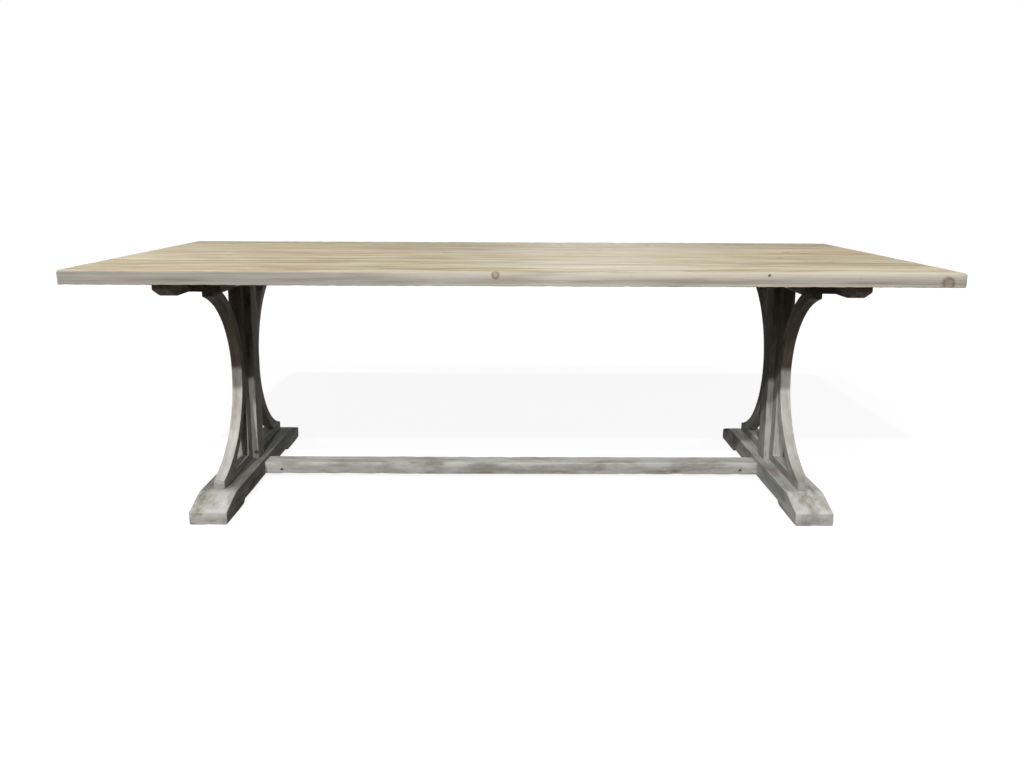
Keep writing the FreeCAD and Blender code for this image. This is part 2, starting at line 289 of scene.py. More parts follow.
def polygon(corners: Sequence[Point], cuts: Sequence[float], spacing: float) -> Outline:
    """Draws straight sides counter-clockwise, cut at the second corner and so on to the first."""
    following = list(corners[1:]) + [corners[0]]
    return closed_outline([straight(a, b, spacing) for a, b in zip(corners, following)], cuts)


def mirrored_polygon(half: Sequence[tuple[Point, float]], spacing: float) -> Outline:
    """Draws a straight-sided outline that is the same on both sides of u = 0.

    Args:
        half: Corners of the right-hand half, from the lowest to the highest, each with its cut.
        spacing: Length of one division of a side.

    Returns:
        The outline.
    """
    corners = [corner for corner, _ in half] + [(-u, v) for (u, v), _ in reversed(half)]
    cuts = [cut for _, cut in half]
    return polygon(corners, cuts[1:] + cuts[::-1] + cuts[:1], spacing)


def circle(count: int) -> Array:
    """Divides a circle of radius 1 about the origin."""
    angle = np.arange(count) * 2 * math.pi / count
    return np.stack([np.cos(angle), np.sin(angle)], 1)


def waves(points: Array, source: np.random.Generator, length: float) -> Array:
    """Adds up sine waves of random direction and phase, about a given wavelength.

    Args:
        points: Places to take the waves at.
        source: Random source.
        length: Typical wavelength.

    Returns:
        One value from about -1 to 1 for each place.
    """
    way = source.normal(size=(points.shape[-1], WAVE_COUNT)) / length * math.pi
    phase = source.uniform(0, 2 * math.pi, WAVE_COUNT)
    return np.sin(points @ way + phase).mean(-1) * 2


def stacked(outline: Array, depth: Array, axes: Axes) -> tuple[Array, list[list[int]]]:
    """Skins a stack of rings and closes both ends.

    Args:
        outline: Rings of (u, v) points, as ring by point by 2.
        depth: Place of each point along w, as ring by point.
        axes: Directions of u, v and w.

    Returns:
        Points and faces.
    """
    rings, count = depth.shape
    local = np.concatenate([outline, depth[..., None]], -1).reshape(-1, 3)
    points = local @ np.array(axes.value, float)
    number = np.arange(rings * count).reshape(rings, count)
    turned = np.roll(number, -1, 1)
    quads = np.stack([number[:-1], turned[:-1], turned[1:], number[1:]], -1).reshape(-1, 4)
    return points, quads.tolist() + [number[0, ::-1].tolist(), number[-1].tolist()]


def prism(
    outline: Outline,
    span: Point,
    ease: Array | float,
    axes: Axes,
    source: np.random.Generator,
    rings: int = 6,
    steps: int = 4,
    hold: float = 0.0006,
    uneven: Array | float = 0.0003,
    free: Array | float = 1.0,
) -> Shell:
    """Carries an outline through a depth, with both arrises rounded.

    At angle f from 0 to a quarter turn, a ring lies e(1 - cos f) in from the end and is drawn in by
    e(1 - sin f), where the ease e swells and shrinks along the arris. A last ring on each end, just
    inside the arris, keeps the flat end flat. Long waves then draw the surface in by up to the
    unevenness, and short ones chip its rounded corners.

    Args:
        outline: Outline at full size.
        span: Low and high end of the depth.
        ease: Rounding of the arris, one value or one for each point.
        axes: Directions of the outline and of the depth.
        source: Random source of the unevenness.
        rings: Divisions between the two arrises.
        steps: Divisions of an arris.
        hold: Width of the ring that keeps an end flat.
        uneven: How far the surface wanders inwards.
        free: Share of u and v by which points may be drawn in.

    Returns:
        The closed skin.
    """
    swell = 1 + SWELL_SHARE * np.clip(waves(outline.apex, source, SWELL_LENGTH), -1, 1)
    ease = np.broadcast_to(ease, len(swell)) * swell
    uneven = np.broadcast_to(uneven, len(swell))
    drawn = outline.drawn(ease + hold + (1 + CHIP_DEPTH) * uneven) * free
    angle = np.linspace(0, math.pi / 2, steps + 1)[:, None]
    inset = np.concatenate([(ease + hold)[None], ease * (1 - np.sin(angle))])
    sunk = np.concatenate([0 * ease[None], ease * (1 - np.cos(angle))])
    low, high = span
    share = np.linspace(0, 1, rings + 1)[1:-1, None]
    body = (low + ease) * (1 - share) + (high - ease) * share
    depth = np.concatenate([low + sunk, body, (high - sunk)[::-1]])
    inset = np.concatenate([inset, np.zeros_like(body), inset[::-1]])
    bend = np.concatenate([[[0.0]], np.sin(2 * angle)])
    bend = np.concatenate([bend, np.zeros((len(body), 1)), bend[::-1]])
    places = np.concatenate([np.broadcast_to(outline.points, depth.shape + (2,)), depth[..., None]], -1)
    wander = uneven * (1 + np.clip(waves(places, source, WANDER_LENGTH), -1, 1)) / 2
    chip = CHIP_DEPTH * uneven * np.clip(waves(places, source, CHIP_LENGTH), 0, 1) * outline.corner
    rings_uv = outline.points + drawn * (inset + wander + chip)[..., None]
    points, faces = stacked(rings_uv, depth, axes)
    wear = np.maximum(bend, outline.corner[None]).reshape(-1)
    return Shell(points, faces, wear)


def turned_solid(profile: Array, centre: Sequence[float], axes: Axes, count: int = 32) -> Shell:
    """Turns a profile of (radius, depth) rows about an axis and closes its ends.

    Args:
        profile: Rows of radius and depth, from the low end to the high end.
        centre: The origin of the profile.
        axes: Directions of the section and of the axis.
        count: Points round it.

    Returns:
        The closed skin.
    """
    ring = profile[:, :1, None] * circle(count)
    depth = np.broadcast_to(profile[:, 1:], (len(profile), count))
    points, faces = stacked(ring, depth, axes)
    return Shell(points + np.array(centre), faces, np.zeros(len(points)))


def rod(radius: float, span: Point, centre: Sequence[float], axes: Axes, count: int = 32) -> Shell:
    """Makes a plain round bar with sharp ends, between two places along its axis."""
    return turned_solid(np.array([(radius, end) for end in span]), centre, axes, count)


def washer(
    outer: float,
    inner: float,
    span: Point,
    centre: Sequence[float],
    axes: Axes,
    count: int = 40,
) -> Shell:
    """Turns a small rounded rectangle about an axis, as a closed ring.

    Args:
        outer: Outer radius.
        inner: Radius of the hole.
        span: Low and high face along the axis.
        centre: A point on the axis.
        axes: Directions of the section and of the axis.
        count: Points round it.

    Returns:
        The closed skin.
    """
    low, high = span
    section = rectangle((inner, low), (outer, high), [(high - low) * WASHER_EASE] * 4, outer).points
    way = section[None, :, :1] * circle(count)[:, None]
    height = np.broadcast_to(section[None, :, 1:], (count, len(section), 1))
    local = np.concatenate([way, height], -1)
    number = np.arange(count * len(section)).reshape(count, -1)
    over, on = np.roll(number, -1, 0), np.roll(number, -1, 1)
    both = np.roll(over, -1, 1)
    faces = np.stack([number, over, both, on], -1).reshape(-1, 4).tolist()
    points = local.reshape(-1, 3) @ np.array(axes.value, float) + np.array(centre)
    return Shell(points, faces, np.zeros(len(points)))


def joined(shells: Sequence[Shell]) -> Shell:
    """Puts several closed skins into one piece.

    Args:
        shells: The skins.

    Returns:
        All of them as one.
    """
    starts = np.cumsum([0] + [len(shell.points) for shell in shells[:-1]])
    pairs = zip(starts, shells)
    faces = [(start + np.array(face)).tolist() for start, shell in pairs for face in shell.faces]
    points = np.concatenate([shell.points for shell in shells])
    return Shell(points, faces, np.concatenate([shell.wear for shell in shells]))


class Socket:
    """Output of a shader node that takes part in sums."""

    def __init__(self, graph: "Graph", out: bpy.types.NodeSocket) -> None:
        """Wraps an output of a graph's node."""
        self.graph = graph
        self.out = out

    def __add__(self, other: "Value") -> "Socket":
        """Adds."""
        return self.graph.math("ADD", self, other)

    def __radd__(self, other: "Value") -> "Socket":
        """Adds, reflected."""
        return self.graph.math("ADD", other, self)

    def __sub__(self, other: "Value") -> "Socket":
        """Subtracts."""
        return self.graph.math("SUBTRACT", self, other)

    def __rsub__(self, other: "Value") -> "Socket":
        """Subtracts, reflected."""
        return self.graph.math("SUBTRACT", other, self)

    def __mul__(self, other: "Value") -> "Socket":
        """Multiplies."""
        return self.graph.math("MULTIPLY", self, other)

    def __rmul__(self, other: "Value") -> "Socket":
        """Multiplies, reflected."""
        return self.graph.math("MULTIPLY", other, self)

    def __truediv__(self, other: "Value") -> "Socket":
        """Divides."""
        return self.graph.math("DIVIDE", self, other)

    def __rtruediv__(self, other: "Value") -> "Socket":
        """Divides, reflected."""
        return self.graph.math("DIVIDE", other, self)

    def __lt__(self, other: "Value") -> "Socket":
        """Gives 1 where it is less than the other, and 0 elsewhere."""
        return self.graph.math("LESS_THAN", self, other)

    def fraction(self) -> "Socket":
        """Gives what is left after the whole number."""
        return self.graph.math("FRACT", self)

    def root(self) -> "Socket":
        """Gives the square root."""
        return self.graph.math("SQRT", self)

    def falloff(self) -> "Socket":
        """Gives e to the power of minus its square: a bell about zero."""
        return self.graph.math("EXPONENT", self * self * -1.0)

    def clamped(self) -> "Socket":
        """Keeps it from 0 to 1."""
        return self.graph.math("ADD", self, 0.0, clamp=True)

    def swing(self, share: float) -> "Socket":
        """Swings noise about zero, by a share of its range."""
        return (self - NOISE_MEAN) * share

    def rise(self, low: float, high: float) -> "Socket":
        """Goes smoothly from 0 at the low value to 1 at the high one.

        Args:
            low: Value that gives 0.
            high: Value that gives 1.

        Returns:
            The smooth step.
        """
        node = self.graph.add(
            "ShaderNodeMapRange",
            {"interpolation_type": "SMOOTHSTEP"},
            {"Value": self, "From Min": low, "From Max": high},
        )
        return Socket(self.graph, node.outputs[0])


Value = Socket | float


class Graph:
    """Node tree of one material."""

    def __init__(self, tree: bpy.types.NodeTree) -> None:
        """Empties a node tree and takes it over."""
        self.tree = tree
        tree.nodes.clear()

    def add(
        self,
        kind: str,
        settings: Mapping[str, Any] | None = None,
        inputs: Mapping[str | int, Any] | None = None,
    ) -> bpy.types.Node:
        """Adds a node, sets it up and then fills its sockets.

        Args:
            kind: Type name of the node.
            settings: Its own settings, set first.
            inputs: A value or a link for each named or numbered socket.

        Returns:
            The node.
        """
        node = self.tree.nodes.new(kind)
        for name, setting in (settings or {}).items():
            setattr(node, name, setting)
        for name, value in (inputs or {}).items():
            value = value.out if isinstance(value, Socket) else value
            if isinstance(value, bpy.types.NodeSocket):
                self.tree.links.new(value, node.inputs[name])
            else:
                node.inputs[name].default_value = value
        return node

    def math(self, operation: str, *values: Value, clamp: bool = False) -> Socket:
        """Adds one Math node, whose result can be kept from 0 to 1."""
        settings = {"operation": operation, "use_clamp": clamp}
        return Socket(self, self.add("ShaderNodeMath", settings, dict(enumerate(values))).outputs[0])

    def attribute(self, name: str) -> tuple[Socket, Socket, Socket]:
        """Reads a piece's own vector attribute as three values."""
        node = self.add("ShaderNodeAttribute", {"attribute_name": name})
        return self.split(node.outputs["Vector"])

    def place(self) -> tuple[Socket, Socket, Socket]:
        """Reads the place on a piece that has no attributes of its own."""
        node = self.add("ShaderNodeTexCoord")
        return self.split(node.outputs["Object"])

    def split(self, vector: Any) -> tuple[Socket, Socket, Socket]:
        """Takes a vector apart."""
        node = self.add("ShaderNodeSeparateXYZ", None, {0: vector})
        return tuple(Socket(self, out) for out in node.outputs)

    def vector(self, x: Value, y: Value, z: Value) -> Socket:
        """Puts three values together as a vector."""
        node = self.add("ShaderNodeCombineXYZ", None, {0: x, 1: y, 2: z})
        return Socket(self, node.outputs[0])

    def noise(self, vector: Socket, detail: float = 2.0, roughness: float = 0.5) -> Socket:
        """Adds smooth noise of unit size at a place: from 0 to 1, about a half."""
        inputs = {"Vector": vector, "Scale": 1.0, "Detail": detail, "Roughness": roughness}
        return Socket(self, self.add("ShaderNodeTexNoise", None, inputs).outputs[0])

    def speckle(self, pitch: Place, detail: float = 2.0) -> Socket:
        """Adds noise on a piece without attributes, with its spots in a metre along each axis."""
        spots = [value * share for value, share in zip(self.place(), pitch)]
        return self.noise(self.vector(*spots), detail)

    def blend(self, share: Value, first: Any, second: Any) -> Socket:
        """Mixes two colours.

        Args:
            share: Share of the second.
            first: A colour or a link.
            second: A colour or a link.

        Returns:
            The mixed colour.
        """
        first, second = (c if isinstance(c, Socket) else opaque(c) for c in (first, second))
        settings = {"data_type": "RGBA", "clamp_factor": True}
        inputs = {MIX_FACTOR: share, MIX_FIRST: first, MIX_SECOND: second}
        return Socket(self, self.add("ShaderNodeMix", settings, inputs).outputs[MIX_RESULT])

    def scaled(self, colour: Socket, share: Value) -> Socket:
        """Makes a colour lighter or darker by a factor."""
        node = self.add("ShaderNodeVectorMath", {"operation": "SCALE"}, {0: colour, "Scale": share})
        return Socket(self, node.outputs[0])

    def surface(self, inputs: Mapping[str, Any]) -> None:
        """Ends the tree in one Principled shader with these sockets."""
        shader = self.add("ShaderNodeBsdfPrincipled", None, inputs)
        self.add("ShaderNodeOutputMaterial", None, {"Surface": shader.outputs[0]})


def new_material(name: str) -> tuple[bpy.types.Material, Graph]:
    """Makes an empty material and its graph.

    Args:
        name: Its name.

    Returns:
        The material and the graph.
    """
    material = bpy.data.materials.new(name)
    material.use_nodes = True
    return material, Graph(material.node_tree)


@dataclass(frozen=True)
class Relief:
    """Bump of a finish.

    Attributes:
        depth: Metres that a height of 1 stands for.
        share: How much of it shows.
    """

    depth: float
    share: float

    def of(self, height: Socket) -> Socket:
        """Turns a height into a normal."""
        inputs = {"Height": height, "Distance": self.depth, "Strength": self.share}
        return Socket(height.graph, height.graph.add("ShaderNodeBump", None, inputs).outputs[0])


@dataclass(frozen=True)
class LogPlace:
    """A place in the log that a timber was sawn from, measured from the heart of the log.

    Attributes:
        x: Along the grain.
        a: Across the grain.
        t: Through the grain.
    """

    x: Socket
    a: Socket
    t: Socket


@dataclass(frozen=True)
class Figure:
    """Noise that is drawn out along the grain.

    Attributes:
        shift: Where along the grain it starts, which sets it apart from other figures.
        along: Spots in a metre along the grain.
        across: Spots in a metre across the grain.
        detail: Octaves of finer noise.
        roughness: Strength of the finer octaves.
    """

    shift: float
    along: float
    across: float
    detail: float = 3.0
    roughness: float = 0.6

    def drawn(self, at: LogPlace) -> Socket:
        """Draws the figure at a place, as noise from 0 to 1 about a half.

        Args:
            at: Place in the log.

        Returns:
            The noise.
        """
        g = at.x.graph
        place = g.vector((at.x + self.shift) * self.along, at.a * self.across, at.t * self.across)
        return g.noise(place, self.detail, self.roughness)


@dataclass(frozen=True)
class Step:
    """A smooth step, which lets one thing show over another.

    Attributes:
        low: Value up to which nothing shows.
        high: Value from which the whole share shows.
        share: The most that shows.
    """

    low: float
    high: float
    share: float = 1.0

    def of(self, value: Socket) -> Socket:
        """Gives how much shows at a value."""
        return value.rise(self.low, self.high) * self.share


@dataclass(frozen=True, kw_only=True)
class PineGrain:
    """Growth of pine: its rings and knots, whatever their colour.

    Attributes:
        sway: Slow bends of the rings.
        quiver: Fine bends of the rings.
        sway_depth: How far the slow bends shift the rings.
        quiver_depth: How far the fine bends shift them.
        ring_spacing: Distance of the ring lines.
        ring_rise: Slow start of a ring line.
        ring_fall: Its quick end.
        ragged: Roughness of a knot's rim.
        knot_share: Share of places where a knot sits.
        knot_length: Length of wood for each place of a knot.
        knot_width: Width of wood for each place of a knot.
        knot_loose: How far the places stray from an even lattice.
        knot_small: Radius of the smallest knot.
        knot_large: Radius of the largest knot.
        knot_oval: Width of a knot against its length.
        knot_ragged: How ragged its rim is.
        knot_edge: Edge of its heart, in radii.
        knot_rings: Rings within it.
        rim_fineness: How narrow its rim is.
        swirl_fineness: How quickly the rings straighten away from it.
        swirl_depth: How far it pushes the rings aside, in radii.
        set_oval: Squared width of a placed knot against its length.
        set_ragged: How ragged its rim is.
        set_rim_fineness: How narrow its rim is.
        sound_step: Radius from which it is sound and not dead.
    """

    sway: Figure = Figure(0.0, 1.2, 5.0, 2.0, 0.5)
    quiver: Figure = Figure(0.0, 9.0, 30.0, 2.0, 0.5)
    sway_depth: float = 0.055
    quiver_depth: float = 0.0035
    ring_spacing: float = 0.0048
    ring_rise: Step = Step(0.35, 0.9)
    ring_fall: Step = Step(0.92, 1.0)
    ragged: Figure = Figure(0.0, 70.0, 90.0, 2.0, 0.5)
    knot_share: float
    knot_length: float = 0.42
    knot_width: float = 0.13
    knot_loose: float = 0.85
    knot_small: float = 0.003
    knot_large: float = 0.009
    knot_oval: float = 0.62
    knot_ragged: float = 0.5
    knot_edge: Step = Step(0.75, 1.1)
    knot_rings: float = 2.0
    rim_fineness: float = 4.0
    swirl_fineness: float = 0.42
    swirl_depth: float = 1.6
    set_oval: float = 1.3
    set_ragged: float = 0.6
    set_rim_fineness: float = 3.2
    sound_step: Step = Step(0.005, 0.009)

    def rings(self, at: LogPlace, push: Socket, turns: Socket) -> Socket:
        """Cuts the ring lines: the bent distance from the heart of the log, counted in ring spacings.

        Args:
            at: Place in the log.
            push: How far knots push the rings aside.
            turns: Rings within the knots.

        Returns:
            From 0 between the lines to 1 on them.
        """
        sway = self.sway.drawn(at).swing(self.sway_depth)
        quiver = self.quiver.drawn(at).swing(self.quiver_depth)
        radius = (at.a * at.a + at.t * at.t).root() + sway + quiver + push
        phase = (radius / self.ring_spacing + turns).fraction()
        return self.ring_rise.of(phase) * (1.0 - self.ring_fall.of(phase))

    def scattered_knots(self, at: LogPlace, ragged: Socket) -> tuple[Socket, Socket, Socket, Socket]:
        """Scatters knots: the nearest point of a loose lattice, kept or dropped by its own random number.

        Args:
            at: Place in the log.
            ragged: Roughness of a knot's rim.

        Returns:
            Heart and rim of the knots, how far they push the rings aside, and the rings within them.
        """
        g = at.x.graph
        place = g.vector(at.x / self.knot_length, at.a / self.knot_width, 0.0)
        cell = g.add(
            "ShaderNodeTexVoronoi",
            {"voronoi_dimensions": "2D", "feature": "F1"},
            {"Vector": place, "Scale": 1.0, "Randomness": self.knot_loose},
        )
        cell_x, cell_a, _ = g.split(cell.outputs["Position"])
        pick, girth, _ = g.split(cell.outputs["Color"])
        size = girth * (self.knot_large - self.knot_small) + self.knot_small
        off_x = (at.x - cell_x * self.knot_length) * self.knot_oval
        off_a = at.a - cell_a * self.knot_width
        reach = (off_x * off_x + off_a * off_a).root() / size + ragged * self.knot_ragged
        there = pick < self.knot_share
        heart = there * (1.0 - self.knot_edge.of(reach))
        rim = there * ((reach - 1.0) * self.rim_fineness).falloff()
        push = there * (reach * self.swirl_fineness).falloff() * size * self.swirl_depth
        return heart, rim, push, heart * reach * self.knot_rings

    def placed_knot(self, g: Graph, ragged: Socket) -> tuple[Socket, Socket, Socket]:
        """Shapes the piece's own placed knot from the way to it.

        Args:
            g: Graph of the material.
            ragged: Roughness of a knot's rim.

        Returns:
            Its heart, its rim, and 1 for a small dead knot down to 0 for a large sound one.
        """
        along, across, size = g.attribute("spot")
        reach = (along * along * self.set_oval + across * across).root() / size + ragged * self.set_ragged
        heart = 1.0 - self.knot_edge.of(reach)
        rim = ((reach - 1.0) * self.set_rim_fineness).falloff()
        return heart, rim, 1.0 - self.sound_step.of(size)


@dataclass(frozen=True, kw_only=True)
class WoodFinish(PineGrain):
    """Washed pine: its colours, its wash and its wear.

    Attributes:
        name: Name of the material.
        slot: Slot of the record that it dresses; not used.
        early: Wood between the ring lines.
        late: Ring lines.
        warm: Tan bands.
        rosy: Narrower reddish streaks.
        cool: Greyed patches.
        wash: The wash that lies in the grain.
        flank: Wood on the edges of the top.
        smear: Wash on the edges of the top.
        rubbed: Worn arrises.
        knot: Heart of a knot.
        bark: Rim of a knot and the floor of a check.
        band: Where the tan bands lie.
        grey: Where the greyed patches lie.
        streak: Where the reddish streaks lie.
        dash: Dashes that the wash breaks up into.
        patch: Patches that are washed or rubbed.
        stretch: How far bands, streaks and patches are drawn out further along the grain.
        ring_share: How strongly the ring lines show.
        wash_share: How much of the wood the wash covers.
        dash_share: How strongly the wash breaks up into dashes.
        patch_share: How strongly it breaks up into patches.
        fibre: Fibres.
        split: Lines along which the wood has checked.
        thread: Fine smears on the edges of the top.
        trail: Broad smears there.
        depth: Pace of a figure through the grain against its pace across.
        fibre_share: How strongly the wash follows the fibres.
        warm_step: How the tan bands show.
        rosy_step: How the reddish streaks show.
        cool_step: How the greyed patches show.
        smear_share: How much of an edge the smears cover.
        trail_share: How strongly they follow the broad smears.
        thread_share: How strongly they follow the fine ones.
        thread_step: How reddish threads show on an edge.
        flank_step: How an edge takes over from a flat.
        wear_step: How an arris is worn.
        wear_patch: In which patches it is worn.
        worn_share: How much of the wash is worn off there.
        knot_cover: How much a scattered knot shows.
        rim_step: Where its rim shows.
        sound_cover: How much a sound placed knot shows.
        dead_cover: How much more a dead one shows.
        set_rim_step: Where the rim of a placed knot shows.
        check_step: How a check opens.
        check_patch: In which patches checks open.
        check_cover: How dark a check is.
        fibre_relief: Height of the fibres.
        ring_relief: Height of the ring lines.
        streak_relief: Height of the streaks.
        check_relief: Depth of a check.
        rim_relief: Depth of a knot's rim.
        relief: Its bump.
        rough: Roughness between the fibres.
        rough_fibre: Further roughness of the fibres.
        rough_worn: What wear takes off it.
        shine: Strength of reflections.
    """

    name: str
    slot: str
    early: Colour
    late: Colour
    warm: Colour
    rosy: Colour
    cool: Colour
    wash: Colour
    flank: Colour
    smear: Colour
    rubbed: Colour
    knot: Colour
    bark: Colour
    band: Figure
    grey: Figure
    streak: Figure
    dash: Figure
    patch: Figure
    stretch: float
    ring_share: float
    wash_share: float
    dash_share: float
    patch_share: float
    fibre: Figure = Figure(0.0, 9.0, 620.0)
    split: Figure = Figure(3.0, 5.5, 210.0, 2.0)
    thread: Figure = Figure(43.0, 5.0, 130.0)
    trail: Figure = Figure(71.0, 2.2, 34.0)
    depth: float = 0.4
    fibre_share: float = 0.7
    warm_step: Step = Step(0.47, 0.6, 0.85)
    rosy_step: Step = Step(0.5, 0.62, 0.9)
    cool_step: Step = Step(0.5, 0.62, 0.75)
    smear_share: float = 0.4
    trail_share: float = 2.2
    thread_share: float = 1.9
    thread_step: Step = Step(0.56, 0.74, 0.4)
    flank_step: Step = Step(0.04, 0.5, 0.92)
    wear_step: Step = Step(0.2, 0.9)
    wear_patch: Step = Step(0.36, 0.58)
    worn_share: float = 0.6
    knot_cover: float = 0.5
    rim_step: Step = Step(-0.25, 0.1, 0.72)
    sound_cover: float = 0.45
    dead_cover: float = 0.5
    set_rim_step: Step = Step(-0.3, 0.0, 0.62)
    check_step: Step = Step(0.725, 0.77)
    check_patch: Step = Step(0.42, 0.6)
    check_cover: float = 0.75
    fibre_relief: float = 0.45
    ring_relief: float = 0.35
    streak_relief: float = 0.3
    check_relief: float = 1.1
    rim_relief: float = 0.4
    relief: Relief = Relief(0.0008, 0.55)
    rough: float = 0.62
    rough_fibre: float = 0.22
    rough_worn: float = 0.1
    shine: float = 0.07

    def build(self) -> bpy.types.Material:
        """Makes the material.

        Returns:
            The material, which reads the attributes grain, mark and spot.
        """
        material, g = new_material(self.name)
        at = LogPlace(*g.attribute("grain"))
        wear, flank, tone = g.attribute("mark")
        deep = replace(at, t=at.t * self.depth)
        far = replace(deep, x=at.x / self.stretch)
        fibre = self.fibre.drawn(deep)
        streak = self.streak.drawn(far)
        dash = self.dash.drawn(deep)
        patch = self.patch.drawn(replace(far, t=at.t))
        ragged = self.ragged.drawn(at) - NOISE_MEAN
        heart, rim, push, turns = self.scattered_knots(at, ragged)
        set_heart, set_rim, dead = self.placed_knot(g, ragged)
        ring = self.rings(at, push, turns)
        check = self.check_step.of(self.split.drawn(deep)) * self.check_patch.of(patch)
        worn = self.wear_step.of(wear) * self.wear_patch.of(patch)
        cover = self.wash_share + patch.swing(self.patch_share) + dash.swing(self.dash_share)
        washed = cover + fibre.swing(self.fibre_share)

        colour = g.blend(ring * self.ring_share, self.early, self.late)
        set_colour = g.blend(dead, self.knot, self.bark)
        for share, tint in (
            (self.warm_step.of(self.band.drawn(far)), self.warm),
            (self.rosy_step.of(streak), self.rosy),
            (self.cool_step.of(self.grey.drawn(far)), self.cool),
            (washed.clamped(), self.wash),
            (self.flank_step.of(flank), self.edge(at)),
            (worn * self.worn_share, self.rubbed),
            (heart * self.knot_cover, self.knot),
            (rim * self.rim_step.of(ragged), self.bark),
            (set_heart * (dead * self.dead_cover + self.sound_cover), set_colour),
            (set_rim * self.set_rim_step.of(ragged), self.bark),
            (check * self.check_cover, self.bark),
        ):
            colour = g.blend(share, colour, tint)

        raised = fibre * self.fibre_relief + ring * self.ring_relief + streak * self.streak_relief
        height = raised - check * self.check_relief - rim * self.rim_relief
        roughness = fibre * self.rough_fibre + self.rough - worn * self.rough_worn
        # The tone from the mark attribute scales the colour; on some pieces it carries painted shade.
        g.surface(
            {
                "Base Color": g.scaled(colour, tone),
                "Roughness": roughness.clamped(),
                "Specular IOR Level": self.shine,
                "Normal": self.relief.of(height),
            }
        )
        return material

    def edge(self, at: LogPlace) -> Socket:
        """Colours the edges of the top: smears of wash over greyed wood, with reddish threads.

        Args:
            at: Place in the log.

        Returns:
            The colour.
        """
        g = at.x.graph
        thread = self.thread.drawn(at)
        trail = self.trail.drawn(at)
        smeared = self.smear_share + trail.swing(self.trail_share) + thread.swing(self.thread_share)
        colour = g.blend(smeared.clamped(), self.flank, self.smear)
        return g.blend(self.thread_step.of(thread), colour, self.rosy)


@dataclass(frozen=True)
class PlainHardwood:
    """Plain fine-grained hardwood of the hidden pins and tongues.

    Attributes:
        name: Name of the material.
        pale: Colour between the flecks.
        dark: Colour of the flecks.
        fleck_pitch: Flecks in a metre along each axis.
        drift_pitch: Spots of the faint drift in a metre.
        fleck_step: How the flecks show.
        drift_share: How much the drift shows.
        fleck_relief: Height of the flecks.
        drift_relief: Height of the drift.
        relief: Its bump.
        rough: Roughness between the flecks.
        rough_fleck: Further roughness of the flecks.
    """

    name: str
    pale: Colour
    dark: Colour
    fleck_pitch: Place = (260.0, 260.0, 70.0)
    drift_pitch: Place = (30.0, 30.0, 30.0)
    fleck_step: Step = Step(0.5, 0.75, 0.6)
    drift_share: float = 0.3
    fleck_relief: float = 0.6
    drift_relief: float = 0.4
    relief: Relief = Relief(0.0002, 0.4)
    rough: float = 0.5
    rough_fleck: float = 0.2

    def build(self) -> bpy.types.Material:
        """Makes the material from places on the piece: short flecks on a faint drift.

        Returns:
            The material.
        """
        material, g = new_material(self.name)
        fleck = g.speckle(self.fleck_pitch)
        drift = g.speckle(self.drift_pitch)
        share = (self.fleck_step.of(fleck) + drift * self.drift_share).clamped()
        height = fleck * self.fleck_relief + drift * self.drift_relief
        g.surface(
            {
                "Base Color": g.blend(share, self.pale, self.dark),
                "Roughness": fleck * self.rough_fleck + self.rough,
                "Normal": self.relief.of(height),
            }
        )
        return material


@dataclass(frozen=True)
class ZincSteel:
    """Dull zinc plate on steel fasteners.

    Attributes:
        name: Name of the material.
        slot: Slot of the record that it dresses; not used.
        bright: Clean plate.
        dull: Plate that has gone cloudy.
        bloom_pitch: Clouds in a metre along each axis.
        bloom_detail: Octaves of finer clouds.
        bloom_step: How the clouds show.
        mark_pitch: Tumbling marks in a metre along each axis.
        relief: Its bump.
        rough: Roughness of the clean plate.
        rough_bloom: Further roughness of the clouds.
    """

    name: str
    slot: str
    bright: Colour
    dull: Colour
    bloom_pitch: Place = (420.0, 420.0, 420.0)
    bloom_detail: float = 3.0
    bloom_step: Step = Step(0.4, 0.68)
    mark_pitch: Place = (1900.0, 1900.0, 1900.0)
    relief: Relief = Relief(0.00008, 0.4)
    rough: float = 0.26
    rough_bloom: float = 0.3

    def build(self) -> bpy.types.Material:
        """Makes the material from places on the piece: a cloudy bloom and fine tumbling marks.

        Returns:
            The material.
        """
        material, g = new_material(self.name)
        bloom = g.speckle(self.bloom_pitch, self.bloom_detail)
        marks = g.speckle(self.mark_pitch)
        g.surface(
            {
                "Base Color": g.blend(self.bloom_step.of(bloom), self.bright, self.dull),
                "Roughness": bloom * self.rough_bloom + self.rough,
                "Metallic": 1.0,
                "Normal": self.relief.of(marks),
            }
        )
        return material


